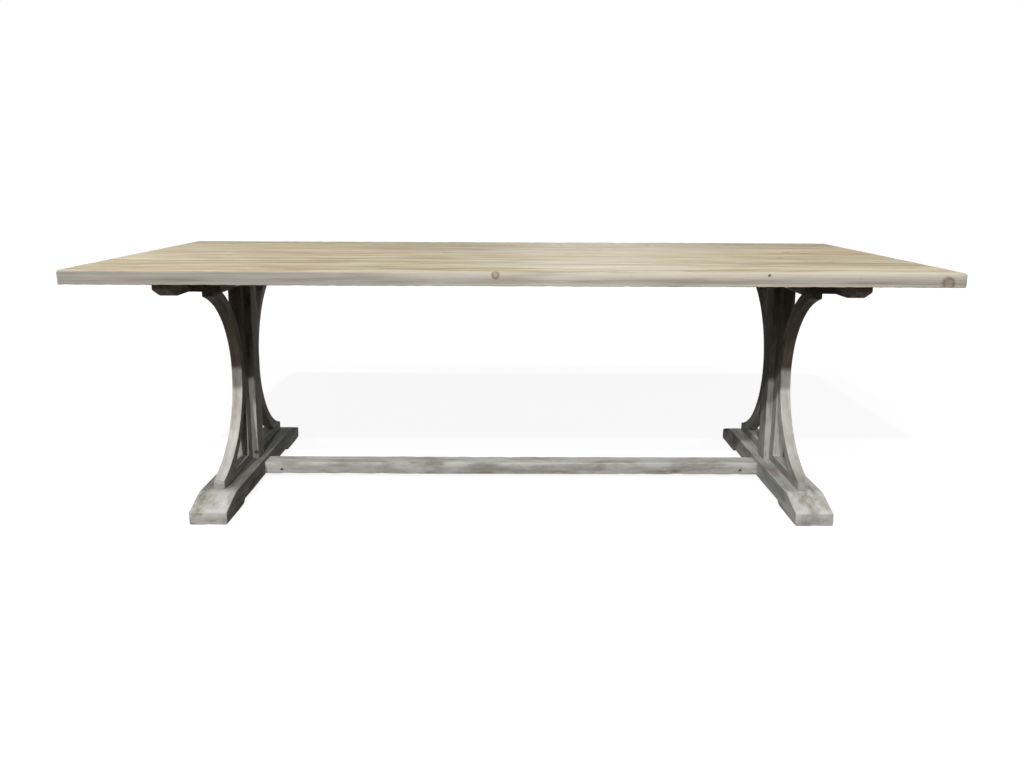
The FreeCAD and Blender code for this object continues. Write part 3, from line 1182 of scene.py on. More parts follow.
LIMEWASHED_PINE = WoodFinish(
    name="limewashed_pine",
    slot="top_pine",
    early=srgb(206, 193, 162),
    late=srgb(182, 163, 129),
    warm=srgb(184, 162, 123),
    rosy=srgb(162, 139, 109),
    cool=srgb(158, 154, 136),
    wash=srgb(224, 216, 193),
    flank=srgb(147, 140, 132),
    smear=srgb(186, 184, 178),
    rubbed=srgb(206, 198, 182),
    knot=srgb(134, 112, 94),
    bark=srgb(96, 78, 66),
    band=Figure(0.0, 0.9, 13.0, 2.0),
    grey=Figure(57.0, 1.4, 18.2, 2.0),
    streak=Figure(23.0, 3.6, 30.0),
    dash=Figure(11.0, 4.5, 60.0),
    patch=Figure(31.0, 4.2, 10.92),
    stretch=3.0,
    ring_share=0.7,
    wash_share=0.3,
    dash_share=3.2,
    patch_share=1.5,
    knot_share=0.42,
)
GREYWASHED_PINE = WoodFinish(
    name="greywashed_pine",
    slot="frame_pine",
    early=srgb(184, 182, 172),
    late=srgb(156, 151, 139),
    warm=srgb(164, 156, 142),
    rosy=srgb(152, 140, 126),
    cool=srgb(148, 151, 144),
    wash=srgb(218, 219, 214),
    flank=srgb(190, 188, 180),
    smear=srgb(214, 213, 207),
    rubbed=srgb(226, 225, 218),
    knot=srgb(72, 64, 55),
    bark=srgb(52, 45, 38),
    band=Figure(0.0, 0.9, 22.0, 2.0),
    grey=Figure(57.0, 1.4, 30.8, 2.0),
    streak=Figure(23.0, 3.6, 70.0),
    dash=Figure(11.0, 4.5, 140.0),
    patch=Figure(31.0, 9.0, 23.4),
    stretch=1.0,
    ring_share=0.5,
    wash_share=0.52,
    dash_share=1.3,
    patch_share=2.3,
    knot_share=0.0,
)
BEECH = PlainHardwood("plain_beech", srgb(206, 172, 128), srgb(172, 132, 90))
ZINC = ZincSteel("dull_zinc", "zinc_steel", srgb(198, 198, 196), srgb(150, 150, 148))


@dataclass(frozen=True)
class Knot:
    """A knot at a given place, round the corner of an arris if it lies on one.

    Attributes:
        place: Its heart.
        along: World axis that the fibres run along.
        across: World axes that are unrolled across the fibres, each with its sign.
        radius: Its radius.
    """

    place: Place
    along: int
    across: tuple[tuple[int, int], ...]
    radius: float

    def way(self, points: Array) -> Array:
        """Gives the way from the knot to each point, along and across the fibres, and the knot's radius.

        Args:
            points: Places, one row each.

        Returns:
            One row for each place.
        """
        off = points - np.array(self.place)
        across = sum(sign * off[:, axis] for axis, sign in self.across)
        return np.stack([off[:, self.along], across, np.full(len(off), self.radius)], 1)


@dataclass(frozen=True)
class Fade:
    """Lightness that runs evenly from the lowest to the highest point of a piece.

    Attributes:
        foot: Lightness at the lowest point.
        head: Lightness at the highest point.
    """

    foot: float = 1.0
    head: float = 1.0

    def __call__(self, points: Array) -> Array:
        """Gives the lightness at each place."""
        z = points[:, 2]
        return np.interp(z, [z.min(), z.max()], [self.foot, self.head])


@dataclass
class Timber:
    """A wooden piece that is to be made.

    Attributes:
        name: Name of the piece.
        node: Name of the solid that it stands for.
        shell: Its skin.
        grain: The way its fibres run.
        tone: Gives how light it is at each of its points, with painted shade on the feet, posts and spines.
        finish: Its finish.
        cutters: Skins that are cut out of it.
        flanks: Whether its upright faces take the flank's colour.
        knots: Knots that sit at given places.
        lay: Places along, across and through the fibres, where these follow a curve.
    """

    name: str
    node: str
    shell: Shell
    grain: Grain
    tone: Tone = Fade()
    finish: WoodFinish = GREYWASHED_PINE
    cutters: Shell | None = None
    flanks: bool = False
    knots: Sequence[Knot] = ()
    lay: Array | None = None


def placed(name: str, data: bpy.types.ID) -> bpy.types.Object:
    """Makes an object of a mesh, lamp or camera at the origin and puts it into the scene.

    Args:
        name: Its name.
        data: The mesh, lamp or camera.

    Returns:
        The object.
    """
    thing = bpy.data.objects.new(name, data)
    bpy.context.scene.collection.objects.link(thing)
    return thing


def skinned(name: str, shell: Shell) -> bpy.types.Mesh:
    """Puts a skin into a mesh, with the wear of its points.

    Args:
        name: Name of the mesh.
        shell: The skin.

    Returns:
        The mesh.
    """
    mesh = bpy.data.meshes.new(name)
    mesh.from_pydata(shell.points, [], shell.faces)
    mesh.attributes.new("wear", "FLOAT", "POINT").data.foreach_set("value", shell.wear.astype(np.float32))
    mesh.update()
    return mesh


@dataclass
class Workshop:
    """Turns skins into pieces of the table, with their finish and body.

    Attributes:
        log_length: Length of log that a timber starts within.
        heart_aside: How far to a side of a timber the heart of the log lies at most.
        heart_depth: Least and most distance of the heart through the timber.
        slant: Most slope of the fibres.
        tone_range: Least and most lightness of one timber against another.
        end_length: Length of a timber's end that has darkened.
        end_dark: How much it has darkened, and end grain again.
        no_knot: Way to a knot and its radius where a piece has none.
        sharp_angle: Degrees from which an edge stays sharp.
    """

    log_length: float = 60.0
    heart_aside: float = 0.05
    heart_depth: Point = (0.05, 0.16)
    slant: float = 0.02
    tone_range: Point = (0.93, 1.05)
    end_length: float = 0.03
    end_dark: float = 0.08
    no_knot: Place = (9.0, 9.0, 0.01)
    sharp_angle: float = 38.0

    def __post_init__(self) -> None:
        """Makes each finish once."""
        self.woods = {finish: finish.build() for finish in (LIMEWASHED_PINE, GREYWASHED_PINE)}
        self.beech = BEECH.build()
        self.zinc = ZINC.build()

    def timber(self, timber: Timber) -> None:
        """Makes a wooden piece, cuts its holes, marks its grain and dresses it.

        Args:
            timber: What it is made of.
        """
        piece = placed(timber.name, skinned(timber.name, timber.shell))
        if timber.cutters is not None:
            self._cut(piece, timber.cutters)
        self._mark(piece.data, timber)
        self._ride(piece, self.woods[timber.finish], timber.node)

    def fastener(self, name: str, shells: Sequence[Shell], node: str) -> None:
        """Makes a piece of zinc-plated hardware.

        Args:
            name: Name of the piece.
            shells: Its skins.
            node: Name of the solids that it stands for.
        """
        piece = placed(name, skinned(name, joined(shells)))
        piece.data.attributes.remove(piece.data.attributes["wear"])
        self._ride(piece, self.zinc, node)

    def hidden(self, names: Sequence[str], material: bpy.types.Material) -> None:
        """Gives solids that stay as they are a finish.

        Args:
            names: Names of the solids.
            material: Their finish.
        """
        for name in names:
            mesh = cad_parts[name].data
            mesh.materials.clear()
            mesh.materials.append(material)
            LOG.info("kept solid %s in %s", name, material.name)

    def _cut(self, piece: bpy.types.Object, cutters: Shell) -> None:
        """Cuts skins out of a piece.

        Args:
            piece: The piece.
            cutters: The skins.
        """
        cutter = placed(piece.name + "_cutter", skinned(piece.name + "_cutter", cutters))
        modifier = piece.modifiers.new("holes", "BOOLEAN")
        modifier.object = cutter
        modifier.solver = "EXACT"
        graph = bpy.context.evaluated_depsgraph_get()
        whole = piece.data
        piece.data = bpy.data.meshes.new_from_object(piece.evaluated_get(graph))
        piece.modifiers.clear()
        bpy.data.meshes.remove(whole)
        bpy.data.objects.remove(cutter)

    def _mark(self, mesh: bpy.types.Mesh, timber: Timber) -> None:
        """Writes where each point lies in the log that the timber was sawn from, and how it has aged.

        The attribute grain holds the place along, across and through the fibres, measured from the heart
        of the log, which lies at a random distance off the piece. The attribute mark holds wear, flank and
        tone, where end grain and the ends of a piece are darker. The attribute spot holds the way to the
        nearest placed knot and its radius.

        Args:
            mesh: Mesh of the piece.
            timber: What the piece is made of.
        """
        source = seeded(timber.name)
        count = len(mesh.vertices)
        points = np.empty(count * 3, np.float32)
        normals = np.empty(count * 3, np.float32)
        wear = np.empty(count, np.float32)
        mesh.vertices.foreach_get("co", points)
        mesh.vertex_normals.foreach_get("vector", normals)
        mesh.attributes["wear"].data.foreach_get("value", wear)
        mesh.attributes.remove(mesh.attributes["wear"])
        points, normals = points.reshape(-1, 3), normals.reshape(-1, 3)

        along, straight_lay = timber.grain.value, timber.lay is None
        middle = (points.min(0) + points.max(0)) / 2
        local = (points - middle)[:, along] if straight_lay else timber.lay
        from_end = np.abs(local[:, 0]).max() - np.abs(local[:, 0])
        near_end = np.clip(1 - from_end / self.end_length, 0, 1) * (not timber.flanks)
        end_grain = normals[:, along[0]] ** 2
        start = source.uniform(0, self.log_length)
        aside = source.uniform(-self.heart_aside, self.heart_aside)
        depth = source.uniform(*self.heart_depth) * source.choice([-1, 1])
        slant = source.uniform(-self.slant, self.slant) * straight_lay * local[:, 0]
        local = local + np.stack([0 * slant, slant, 0 * slant], 1)
        # A piece's tone carries painted shade on the feet, posts and spines.
        shade = timber.tone(points) * source.uniform(*self.tone_range)
        shade = shade * (1 - self.end_dark * end_grain) * (1 - self.end_dark * near_end)
        upright = (1 - np.abs(normals[:, 2])) * float(timber.flanks)
        spot = np.broadcast_to(np.array(self.no_knot), (count, 3))
        for knot in timber.knots:
            way = knot.way(points)
            spot = np.where(np.abs(way[:, :1]) < np.abs(spot[:, :1]), way, spot)
        in_log = local + np.array([start, aside, depth])
        marks = {"grain": in_log, "mark": np.stack([wear, upright, shade], 1), "spot": spot}
        for label, values in marks.items():
            attribute = mesh.attributes.new(label, "FLOAT_VECTOR", "POINT")
            attribute.data.foreach_set("vector", values.astype(np.float32).ravel())

    def _ride(self, piece: bpy.types.Object, material: bpy.types.Material, node: str) -> None:
        """Dresses and smooths a piece, puts it on the table's one body and hides the solids that it stands
        for.

        Args:
            piece: The piece.
            material: Its material.
            node: Name of the solids that it stands for.
        """
        piece.data.materials.clear()
        piece.data.materials.append(material)
        piece.data.shade_smooth()
        piece.data.set_sharp_from_angle(angle=math.radians(self.sharp_angle))
        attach(piece, ROOT)
        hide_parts(node)
        LOG.info("made %s with %d faces", piece.name, len(piece.data.polygons))


@dataclass
class TableTop:
    """The planks of the top and the cleats that hold them flat.

    Attributes:
        shop: What makes the pieces.
        board_count: Number of planks.
        arris: Rounding of the upper edge.
        lower_ease: Easing of the lower edge.
        corner: Rounding of the corners in plan.
        corner_reach: Length of the lower edge over which its easing grows into a corner's.
        seam: Easing of the planks where they meet.
        seam_give: Share by which a plank may be drawn in at a seam.
        uneven: How far a plank's surface wanders.
        ring_pitch: Length of one division along a plank.
        pitch: Length of one division across it.
        cleat_end: Depth of a cleat at its end.
        cleat_run: Length of its undercut.
        cleat_ease: Rounding of its arrises.
        knee_cut: Rounding where its undercut starts.
        tip_cut: Rounding of its tip.
        seat_cut: Rounding where it meets the planks.
        screw_radius: Radius of a screw's head.
        screw_height: Height of a screw's head.
        screw_land: Wood between the screw's head and the planks.
        hole_radius: Radius of the holes for the heads.
        dome_shares: First and last share of a quarter turn, and number, of the rings on a head's dome.
        dome_height: Height of the dome as a share of the head's.
        rim_height: Height of the head's rim as a share of the head's.
        seat_radius: Radius of the head's seat as a share of the head's.
        edge_knots: X, drop below the top and radius of the knots on the front edge.
        edge_lights: X and lightness along the front edge, which has greyed and bleached in stretches.
        top_lights: X and lightness along the planks.
    """

    shop: Workshop
    board_count: int = 7
    arris: float = 0.0085
    lower_ease: float = 0.0025
    corner: float = 0.007
    corner_reach: float = 0.014
    seam: float = 0.0014
    seam_give: float = 0.05
    uneven: float = 0.0004
    ring_pitch: float = 0.016
    pitch: float = 0.012
    cleat_end: float = 0.019
    cleat_run: float = 0.050
    cleat_ease: float = 0.0018
    knee_cut: float = 0.012
    tip_cut: float = 0.004
    seat_cut: float = 0.001
    screw_radius: float = 0.005
    screw_height: float = 0.004
    screw_land: float = 0.022
    hole_radius: float = 0.0052
    dome_shares: tuple[float, float, int] = (0.1, 1.0, 6)
    dome_height: float = 0.55
    rim_height: float = 0.8
    seat_radius: float = 0.92
    edge_knots: tuple[Place, ...] = (
        (-0.047, 0.009, 0.010),
        (0.675, 0.008, 0.0038),
        (1.149, 0.029, 0.0165),
    )
    edge_lights: tuple[Point, ...] = ((-1.2, 0.8), (-0.35, 0.85), (0.12, 1.24), (0.5, 1.12), (1.2, 1.07))
    top_lights: tuple[Point, ...] = ((-0.8, 1.07), (0.0, 0.925), (0.9, 1.045))

    def build(self) -> None:
        """Makes every piece of the top."""
        boards = [f"top_board_{index + 1}" for index in range(self.board_count)]
        for index, node in enumerate(boards):
            self.plank(node, f"plank_{index + 1}", index == 0, index == self.board_count - 1)
        middles = [(low.y + high.y) / 2 for low, high in map(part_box, boards)]
        for side in Side:
            self.cleat(side, middles)
        self.screws(middles)

    def plank(self, node: str, name: str, first: bool, last: bool) -> None:
        """Makes one plank: its section carried along it, with the whole top's rounding at its ends.

        Args:
            node: Name of the solid.
            name: Name of the piece.
            first: Whether it is the plank at the front.
            last: Whether it is the plank at the rear.
        """
        low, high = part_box(node)
        front_cuts = [self.arris, self.lower_ease] if first else [self.seam] * 2
        rear_cuts = [self.lower_ease, self.arris] if last else [self.seam] * 2
        outline = rectangle((low.y, low.z), (high.y, high.z), rear_cuts + front_cuts, self.pitch)
        ease, free = self.plank_ease(outline, first, last)
        rings = int((high.x - low.x) / self.ring_pitch)
        span = (low.x, high.x)
        shell = prism(outline, span, ease, Axes.SIDE, seeded(node), rings, uneven=self.uneven, free=free)
        front = ((2, 1), (1, 1))
        places = self.edge_knots if first else ()
        knots = [Knot((x, low.y, high.z - drop), 0, front, radius) for x, drop, radius in places]
        tone = self.edge_tone if first else self.top_tone
        plank = Timber(name, node, shell, Grain.ALONG, tone, LIMEWASHED_PINE, flanks=True, knots=knots)
        self.shop.timber(plank)

    def plank_ease(self, outline: Outline, first: bool, last: bool) -> tuple[Array, Array]:
        """Works out how a plank's end is rounded round its section.

        The rounding is the arris above, the corner's at the front and rear of the top, the seam's between
        planks and the lower easing below, blended by the squares of the outward normal.

        Args:
            outline: Section of the plank.
            first: Whether it is the plank at the front.
            last: Whether it is the plank at the rear.

        Returns:
            The rounding at each point, and the shares of u and v by which the point may be drawn in.
        """
        outward_u, outward_v = -outline.inward().T
        outer = np.where(outward_u < 0, float(first), float(last))
        u = outline.points[:, 0]
        to_edge = np.minimum(u - u.min() if first else 1.0, u.max() - u if last else 1.0)
        near_corner = np.clip(1 - to_edge / self.corner_reach, 0, 1) ** 2
        under = self.lower_ease + (self.corner - self.lower_ease) * near_corner
        ease = (
            self.arris * np.clip(outward_v, 0, 1) ** 2
            + under * np.clip(-outward_v, 0, 1) ** 2
            + (self.corner * outer + self.seam * (1 - outer)) * outward_u**2
        )
        return ease, np.stack([np.maximum(outer, self.seam_give), np.ones_like(outer)], 1)

    def top_tone(self, points: Array) -> Array:
        """Gives how light a plank is: between the two nearest marks along it."""
        return np.interp(points[:, 0], *np.transpose(self.top_lights))

    def edge_tone(self, points: Array) -> Array:
        """Gives how light the first plank is: its front edge has marks of its own."""
        edge = np.interp(points[:, 0], *np.transpose(self.edge_lights))
        return np.where(points[:, 1] < points[:, 1].min() + self.arris / 4, edge, self.top_tone(points))

    def cleat(self, side: Side, middles: Sequence[float]) -> None:
        """Makes one cleat with undercut ends and sunk screw holes.

        Args:
            side: End of the table that it lies at.
            middles: Y of the middle line of each plank.
        """
        node = f"{side.value}_cleat"
        low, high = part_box(node)
        knee = ((high.y - self.cleat_run, low.z), self.knee_cut)
        tip = ((high.y, high.z - self.cleat_end), self.tip_cut)
        seat = ((high.y, high.z), self.seat_cut)
        outline = mirrored_polygon([knee, tip, seat], self.pitch)
        shell = prism(outline, (low.x, high.x), self.cleat_ease, Axes.SIDE, seeded(node))
        middle = (low.x + high.x) / 2
        sunk = (low.z - self.cleat_run, high.z - self.screw_land)
        holes = [rod(self.hole_radius, sunk, (middle, y, 0), Axes.PLAN) for y in middles]
        self.shop.timber(Timber(f"{node}_batten", node, shell, Grain.ACROSS, cutters=joined(holes)))

    def screws(self, middles: Sequence[float]) -> None:
        """Makes the pan-headed screws that hold the cleats: a shank, a flat seat and a domed head.

        Args:
            middles: Y of the middle line of each plank.
        """
        low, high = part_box("cleat_screws")
        shank, radius, height = self.screw_radius / 2, self.screw_radius, self.screw_height
        angle = np.linspace(*self.dome_shares) * math.pi / 2
        dome = np.stack([radius * np.sin(angle), height * self.dome_height * (1 - np.cos(angle))], 1)
        rim = [radius, height * self.rim_height]
        seat = [radius * self.seat_radius, height]
        profile = np.concatenate([dome, [rim, seat, [shank, height], [shank, high.z - low.z]]])
        shells = []
        for side in Side:
            near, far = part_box(f"{side.value}_cleat")
            middle = (near.x + far.x) / 2
            shells += [turned_solid(profile, (middle, y, low.z), Axes.PLAN) for y in middles]
        self.shop.fastener("cleat_pan_screws", shells, "cleat_screws")


@dataclass
class Pedestal:
    """One trestle: a sled foot, a post with its spines, and curved braces between sills and head strips.

    Attributes:
        shop: What makes the pieces.
        side: End of the table that it stands at.
        foot_light: How light the foot's clean wood is.
        foot_shade: How much darker the foot is painted from its slopes inwards and upwards: painted shade
            between the sills.
        rear_shade: How much darker its rear end is painted: painted shadow of the top.
        foot_end: Height of the foot's end.
        foot_slope: Length of its sloped end.
        foot_pad: Length of the pad that it stands on.
        foot_relief: Height of the hollow between the pads.
        foot_relief_run: Length of the slope into the hollow.
        foot_ease: Rounding of its arrises.
        foot_uneven: How far its surface wanders.
        relief_cut: Rounding at the top of the hollow.
        heel_cut: Rounding at the pad's inner end.
        sole_cut: Rounding at its outer end.
        toe_cut: Rounding at the top of the foot's end.
        slope_cut: Rounding at the top of its slope.
        bore: Radius of the counterbore.
        bore_depth: Depth of the counterbore.
        bore_sides: Flats round it.
        post_ease: Rounding of the post's arrises.
        post_rings: Divisions along the post.
        housing: Depth of the housing in the post.
        left_knot: Inset from the inner face, height above the foot and radius of the left post's knot.
        right_knot: Inset from the rear, height above the middle and radius of the right post's knot.
        frame_ease: Rounding of the arrises of the narrow pieces.
        joint_ease: Easing where two pieces meet.
        brace_waist: Thickness of a brace at its middle.
        brace_end: Thickness of a brace where it stands.
        brace_seat: How far the inner curve would pass into the spine.
        brace_nose: Height of the brace's outer corner.
        brace_points: Points along one of its curves.
        brace_rings: Divisions through it.
        brace_room: Length kept free beside its corners.
        brace_hold: Width of the ring that keeps its faces flat.
        brace_uneven: How far its surface wanders.
        brace_least: Least share of easing and wander, at its tips.
        pitch: Length of one division of an outline.
        post_tone_and_shade: How light the post is, with painted shade that darkens it towards its head.
        spine_tone_and_shade: How light a spine is, with painted shade that darkens it towards its head.
        brace_tone: How light a brace is.
        sill_tone: How light a sill is.
        strip_tone: How light a head strip is.
        rail_tone: How light the head rail is.
    """

    shop: Workshop
    side: Side
    foot_light: float
    # Painted shade on the foot: darker between the sills and upwards, and darker towards the rear under the
    # top.
    foot_shade: float
    rear_shade: float = 0.35
    foot_end: float = 0.039
    foot_slope: float = 0.092
    foot_pad: float = 0.153
    foot_relief: float = 0.011
    foot_relief_run: float = 0.016
    foot_ease: float = 0.0036
    foot_uneven: float = 0.0006
    relief_cut: float = 0.004
    heel_cut: float = 0.002
    sole_cut: float = 0.0025
    toe_cut: float = 0.005
    slope_cut: float = 0.012
    bore: float = 0.011
    bore_depth: float = 0.014
    bore_sides: int = 48
    post_ease: float = 0.0026
    post_rings: int = 48
    housing: float = 0.006
    left_knot: Place = (0.006, 0.022, 0.0065)
    right_knot: Place = (0.022, 0.008, 0.006)
    frame_ease: float = 0.0018
    joint_ease: float = 0.0008
    brace_waist: float = 0.026
    brace_end: float = 0.079
    brace_seat: float = 0.003
    brace_nose: float = 0.002
    brace_points: int = 90
    brace_rings: int = 4
    brace_room: float = 0.003
    brace_hold: float = 0.0003
    brace_uneven: float = 0.0003
    brace_least: float = 0.02
    pitch: float = 0.012
    # The post and spines are painted darker towards their heads: painted shade under the top.
    post_tone_and_shade: Fade = Fade(0.68, 0.46)
    spine_tone_and_shade: Fade = Fade(0.94, 0.5)
    brace_tone: Fade = Fade(0.9, 0.9)
    sill_tone: Fade = Fade(0.68, 0.68)
    strip_tone: Fade = Fade(0.8, 0.8)
    rail_tone: Fade = Fade(0.7, 0.7)

    def build(self) -> None:
        """Makes every piece of the pedestal."""
        self.foot()
        self.post()
        self.bar("head_rail", Grain.ACROSS, self.rail_tone)
        for face in Face:
            self.bar(f"{face.value}_spine", Grain.UPRIGHT, self.spine_tone_and_shade)
            self.bar(f"{face.value}_sill", Grain.ACROSS, self.sill_tone)
            self.bar(f"{face.value}_head_strip", Grain.ACROSS, self.strip_tone)
            self.brace(face)

    def node(self, part: str) -> str:
        """Gives the full name of one of the pedestal's solids."""
        return f"{self.side.value}_{part}"

    def bar(self, part: str, grain: Grain, tone: Fade) -> None:
        """Makes a straight bar that fills its solid's box.

        Args:
            part: Name of the solid without its side.
            grain: The way its fibres run.
            tone: How light it is.
        """
        node = self.node(part)
        low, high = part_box(node)
        outline = rectangle((low.y, low.z), (high.y, high.z), [self.joint_ease] * 4, self.pitch)
        shell = prism(outline, (low.x, high.x), self.frame_ease, Axes.SIDE, seeded(node))
        self.shop.timber(Timber(f"{node}_bar", node, shell, grain, tone))

    def foot(self) -> None:
        """Makes the sled foot with its counterbore for the stretcher's bolt."""
        node = self.node("foot")
        low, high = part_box(node)
        heel = high.y - self.foot_pad
        half = [
            ((heel - self.foot_relief_run, self.foot_relief), self.relief_cut),
            ((heel, low.z), self.heel_cut),
            ((high.y, low.z), self.sole_cut),
            ((high.y, self.foot_end), self.toe_cut),
            ((high.y - self.foot_slope, high.z), self.slope_cut),
        ]
        outline = mirrored_polygon(half, self.pitch)
        span = (low.x, high.x)
        shell = prism(outline, span, self.foot_ease, Axes.SIDE, seeded(node), uneven=self.foot_uneven)
        outer = low.x if self.side is Side.LEFT else high.x
        reach = (outer - self.bore_depth, outer + self.bore_depth)
        hole = rod(self.bore, reach, (0, 0, BOLT_HEIGHT), Axes.SIDE, self.bore_sides)
        self.shop.timber(Timber(f"{node}_sled", node, shell, Grain.FLAT, self.foot_tone_and_shade, cutters=hole))

    def foot_tone_and_shade(self, points: Array) -> Array:
        """Gives how light the foot is: its clean wood, with painted shade from the slopes inwards and
        upwards and painted shadow towards the rear.

        Args:
            points: Places, one row each.

        Returns:
            One value for each place.
        """
        y, z = points[:, 1], points[:, 2]
        along = np.clip((y.max() - self.foot_slope / 2 - np.abs(y)) / self.foot_slope, 0, 1)
        high = np.clip((z - self.foot_end / 2) / (z.max() - self.foot_end / 2), 0, 1)
        rear = np.clip(y / y.max(), 0, 1)
        # Painted shade between the sills, and painted shadow of the top towards the rear.
        return self.foot_light * (1 - self.foot_shade * along * high) * (1 - self.rear_shade * rear)

    def post(self) -> None:
        """Makes the post between foot and head rail, housed on both faces for the spines."""
        node = self.node("post")
        low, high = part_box(node)
        near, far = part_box(self.node("front_spine"))
        foot_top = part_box(self.node("foot"))[1].z
        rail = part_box(self.node("head_rail"))[0].z
        floor = low.y + self.housing
        front = [
            (low.x, low.y),
            (near.x, low.y),
            (near.x, floor),
            (far.x, floor),
            (far.x, low.y),
            (high.x, low.y),
        ]
        corners = front + [(x, -y) for x, y in reversed(front)]
        cuts = ([self.joint_ease] * 4 + [self.post_ease] * 2) * 2
        outline = polygon(corners, cuts, self.pitch)
        span = (foot_top, rail)
        shell = prism(outline, span, self.joint_ease, Axes.PLAN, seeded(node), rings=self.post_rings)
        if self.side is Side.LEFT:
            inset, rise, radius = self.left_knot
            knot = Knot((high.x - inset, low.y, foot_top + rise), 2, ((0, 1), (1, 1)), radius)
        else:
            inset, rise, radius = self.right_knot
            middle = (foot_top + rail) / 2
            knot = Knot((low.x, high.y - inset, middle + rise), 2, ((0, 1), (1, -1)), radius)
        name = f"{node}_upright"
        self.shop.timber(Timber(name, node, shell, Grain.UPRIGHT, self.post_tone_and_shade, knots=[knot]))

    def brace(self, face: Face) -> None:
        """Makes a crescent brace between two arcs, cut flat where it seats on the spine.

        Its fibres follow the outer arc: a point's place is its turn about the arc's centre times the
        arc's radius along them, its distance from the centre across them, and X through them.

        Args:
            face: Face of the pedestal that it stands on.
        """
        node = self.node(f"{face.value}_brace")
        low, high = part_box(node)
        spine, tip = sorted((abs(low.y), abs(high.y)))
        heel = tip - self.brace_end
        middle = (low.z + high.z) / 2
        foot_nose, head_nose = (tip, low.z + self.brace_nose), (tip, high.z - self.brace_nose)
        waist = (spine + self.brace_waist, middle)
        outer = bow(foot_nose, waist, head_nose, self.brace_points)
        seat = (spine - self.brace_seat, middle)
        inner = bow((heel, high.z), seat, (heel, low.z), self.brace_points)
        inner[:, 0] = np.maximum(inner[:, 0], spine)
        sides = [
            straight((heel, low.z), (tip, low.z), self.pitch),
            np.array([(tip, low.z), foot_nose]),
            outer,
            np.array([head_nose, (tip, high.z)]),
            straight((tip, high.z), (heel, high.z), self.pitch),
            inner,
        ]
        outline = closed_outline(sides, [self.joint_ease / 2] * len(sides), room=self.brace_room)
        outline = outline.mirrored() if face is Face.FRONT else outline
        from_tip = tip - np.abs(outline.apex[:, 0])
        body = np.clip(from_tip / self.brace_end, self.brace_least, 1)
        shell = prism(
            outline,
            (low.x, high.x),
            self.frame_ease * body,
            Axes.SIDE,
            seeded(node),
            rings=self.brace_rings,
            hold=self.brace_hold,
            uneven=self.brace_uneven * body,
        )
        x, y, z = shell.points.T
        centre = bow_centre(foot_nose, waist, head_nose)
        inwards, upwards = centre[0] - np.abs(y), z - centre[1]
        reach = np.hypot(upwards, inwards)
        along = np.arctan2(upwards, inwards) * (centre[0] - waist[0])
        lay = np.stack([along, reach - reach.mean(), x - (low.x + high.x) / 2], 1)
        self.shop.timber(Timber(f"{node}_crescent", node, shell, Grain.SAWN, self.brace_tone, lay=lay))


@dataclass
class Stretcher:
    """The flat stretcher between the feet, with holes for its barrel nuts.

    Attributes:
        shop: What makes the pieces.
        arris: Rounding of its long edges.
        nut_radius: Radius of the holes for the barrel nuts.
        nut_setback: Distance of those holes from the feet.
        nut_depth: Depth of those holes from the front face.
        joint_ease: Easing where it meets the feet.
        uneven: How far its surface wanders.
        pitch: Length of one division round it.
        ring_pitch: Length of one division along it.
        tone: How light it is.
    """

    shop: Workshop
    arris: float = 0.0042
    nut_radius: float = 0.0052
    nut_setback: float = 0.056
    nut_depth: float = 0.041
    joint_ease: float = 0.0006
    uneven: float = 0.0007
    pitch: float = 0.010
    ring_pitch: float = 0.016
    tone: Fade = Fade(0.76, 0.9)

    def build(self) -> None:
        """Makes the bar with its two nut holes."""
        node = "stretcher"
        low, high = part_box(node)
        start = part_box("left_foot")[1].x
        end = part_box("right_foot")[0].x
        outline = rectangle((low.y, low.z), (high.y, high.z), [self.arris] * 4, self.pitch)
        rings = int((end - start) / self.ring_pitch)
        span = (start, end)
        shell = prism(outline, span, self.joint_ease, Axes.SIDE, seeded(node), rings, uneven=self.uneven)
        reach = (low.y - self.nut_depth, low.y + self.nut_depth)
        places = (start + self.nut_setback, end - self.nut_setback)
        holes = [rod(self.nut_radius, reach, (x, 0, BOLT_HEIGHT), Axes.FRONT) for x in places]
        cutters = joined(holes)
        self.shop.timber(Timber("stretcher_bar", node, shell, Grain.ALONG, self.tone, cutters=cutters))


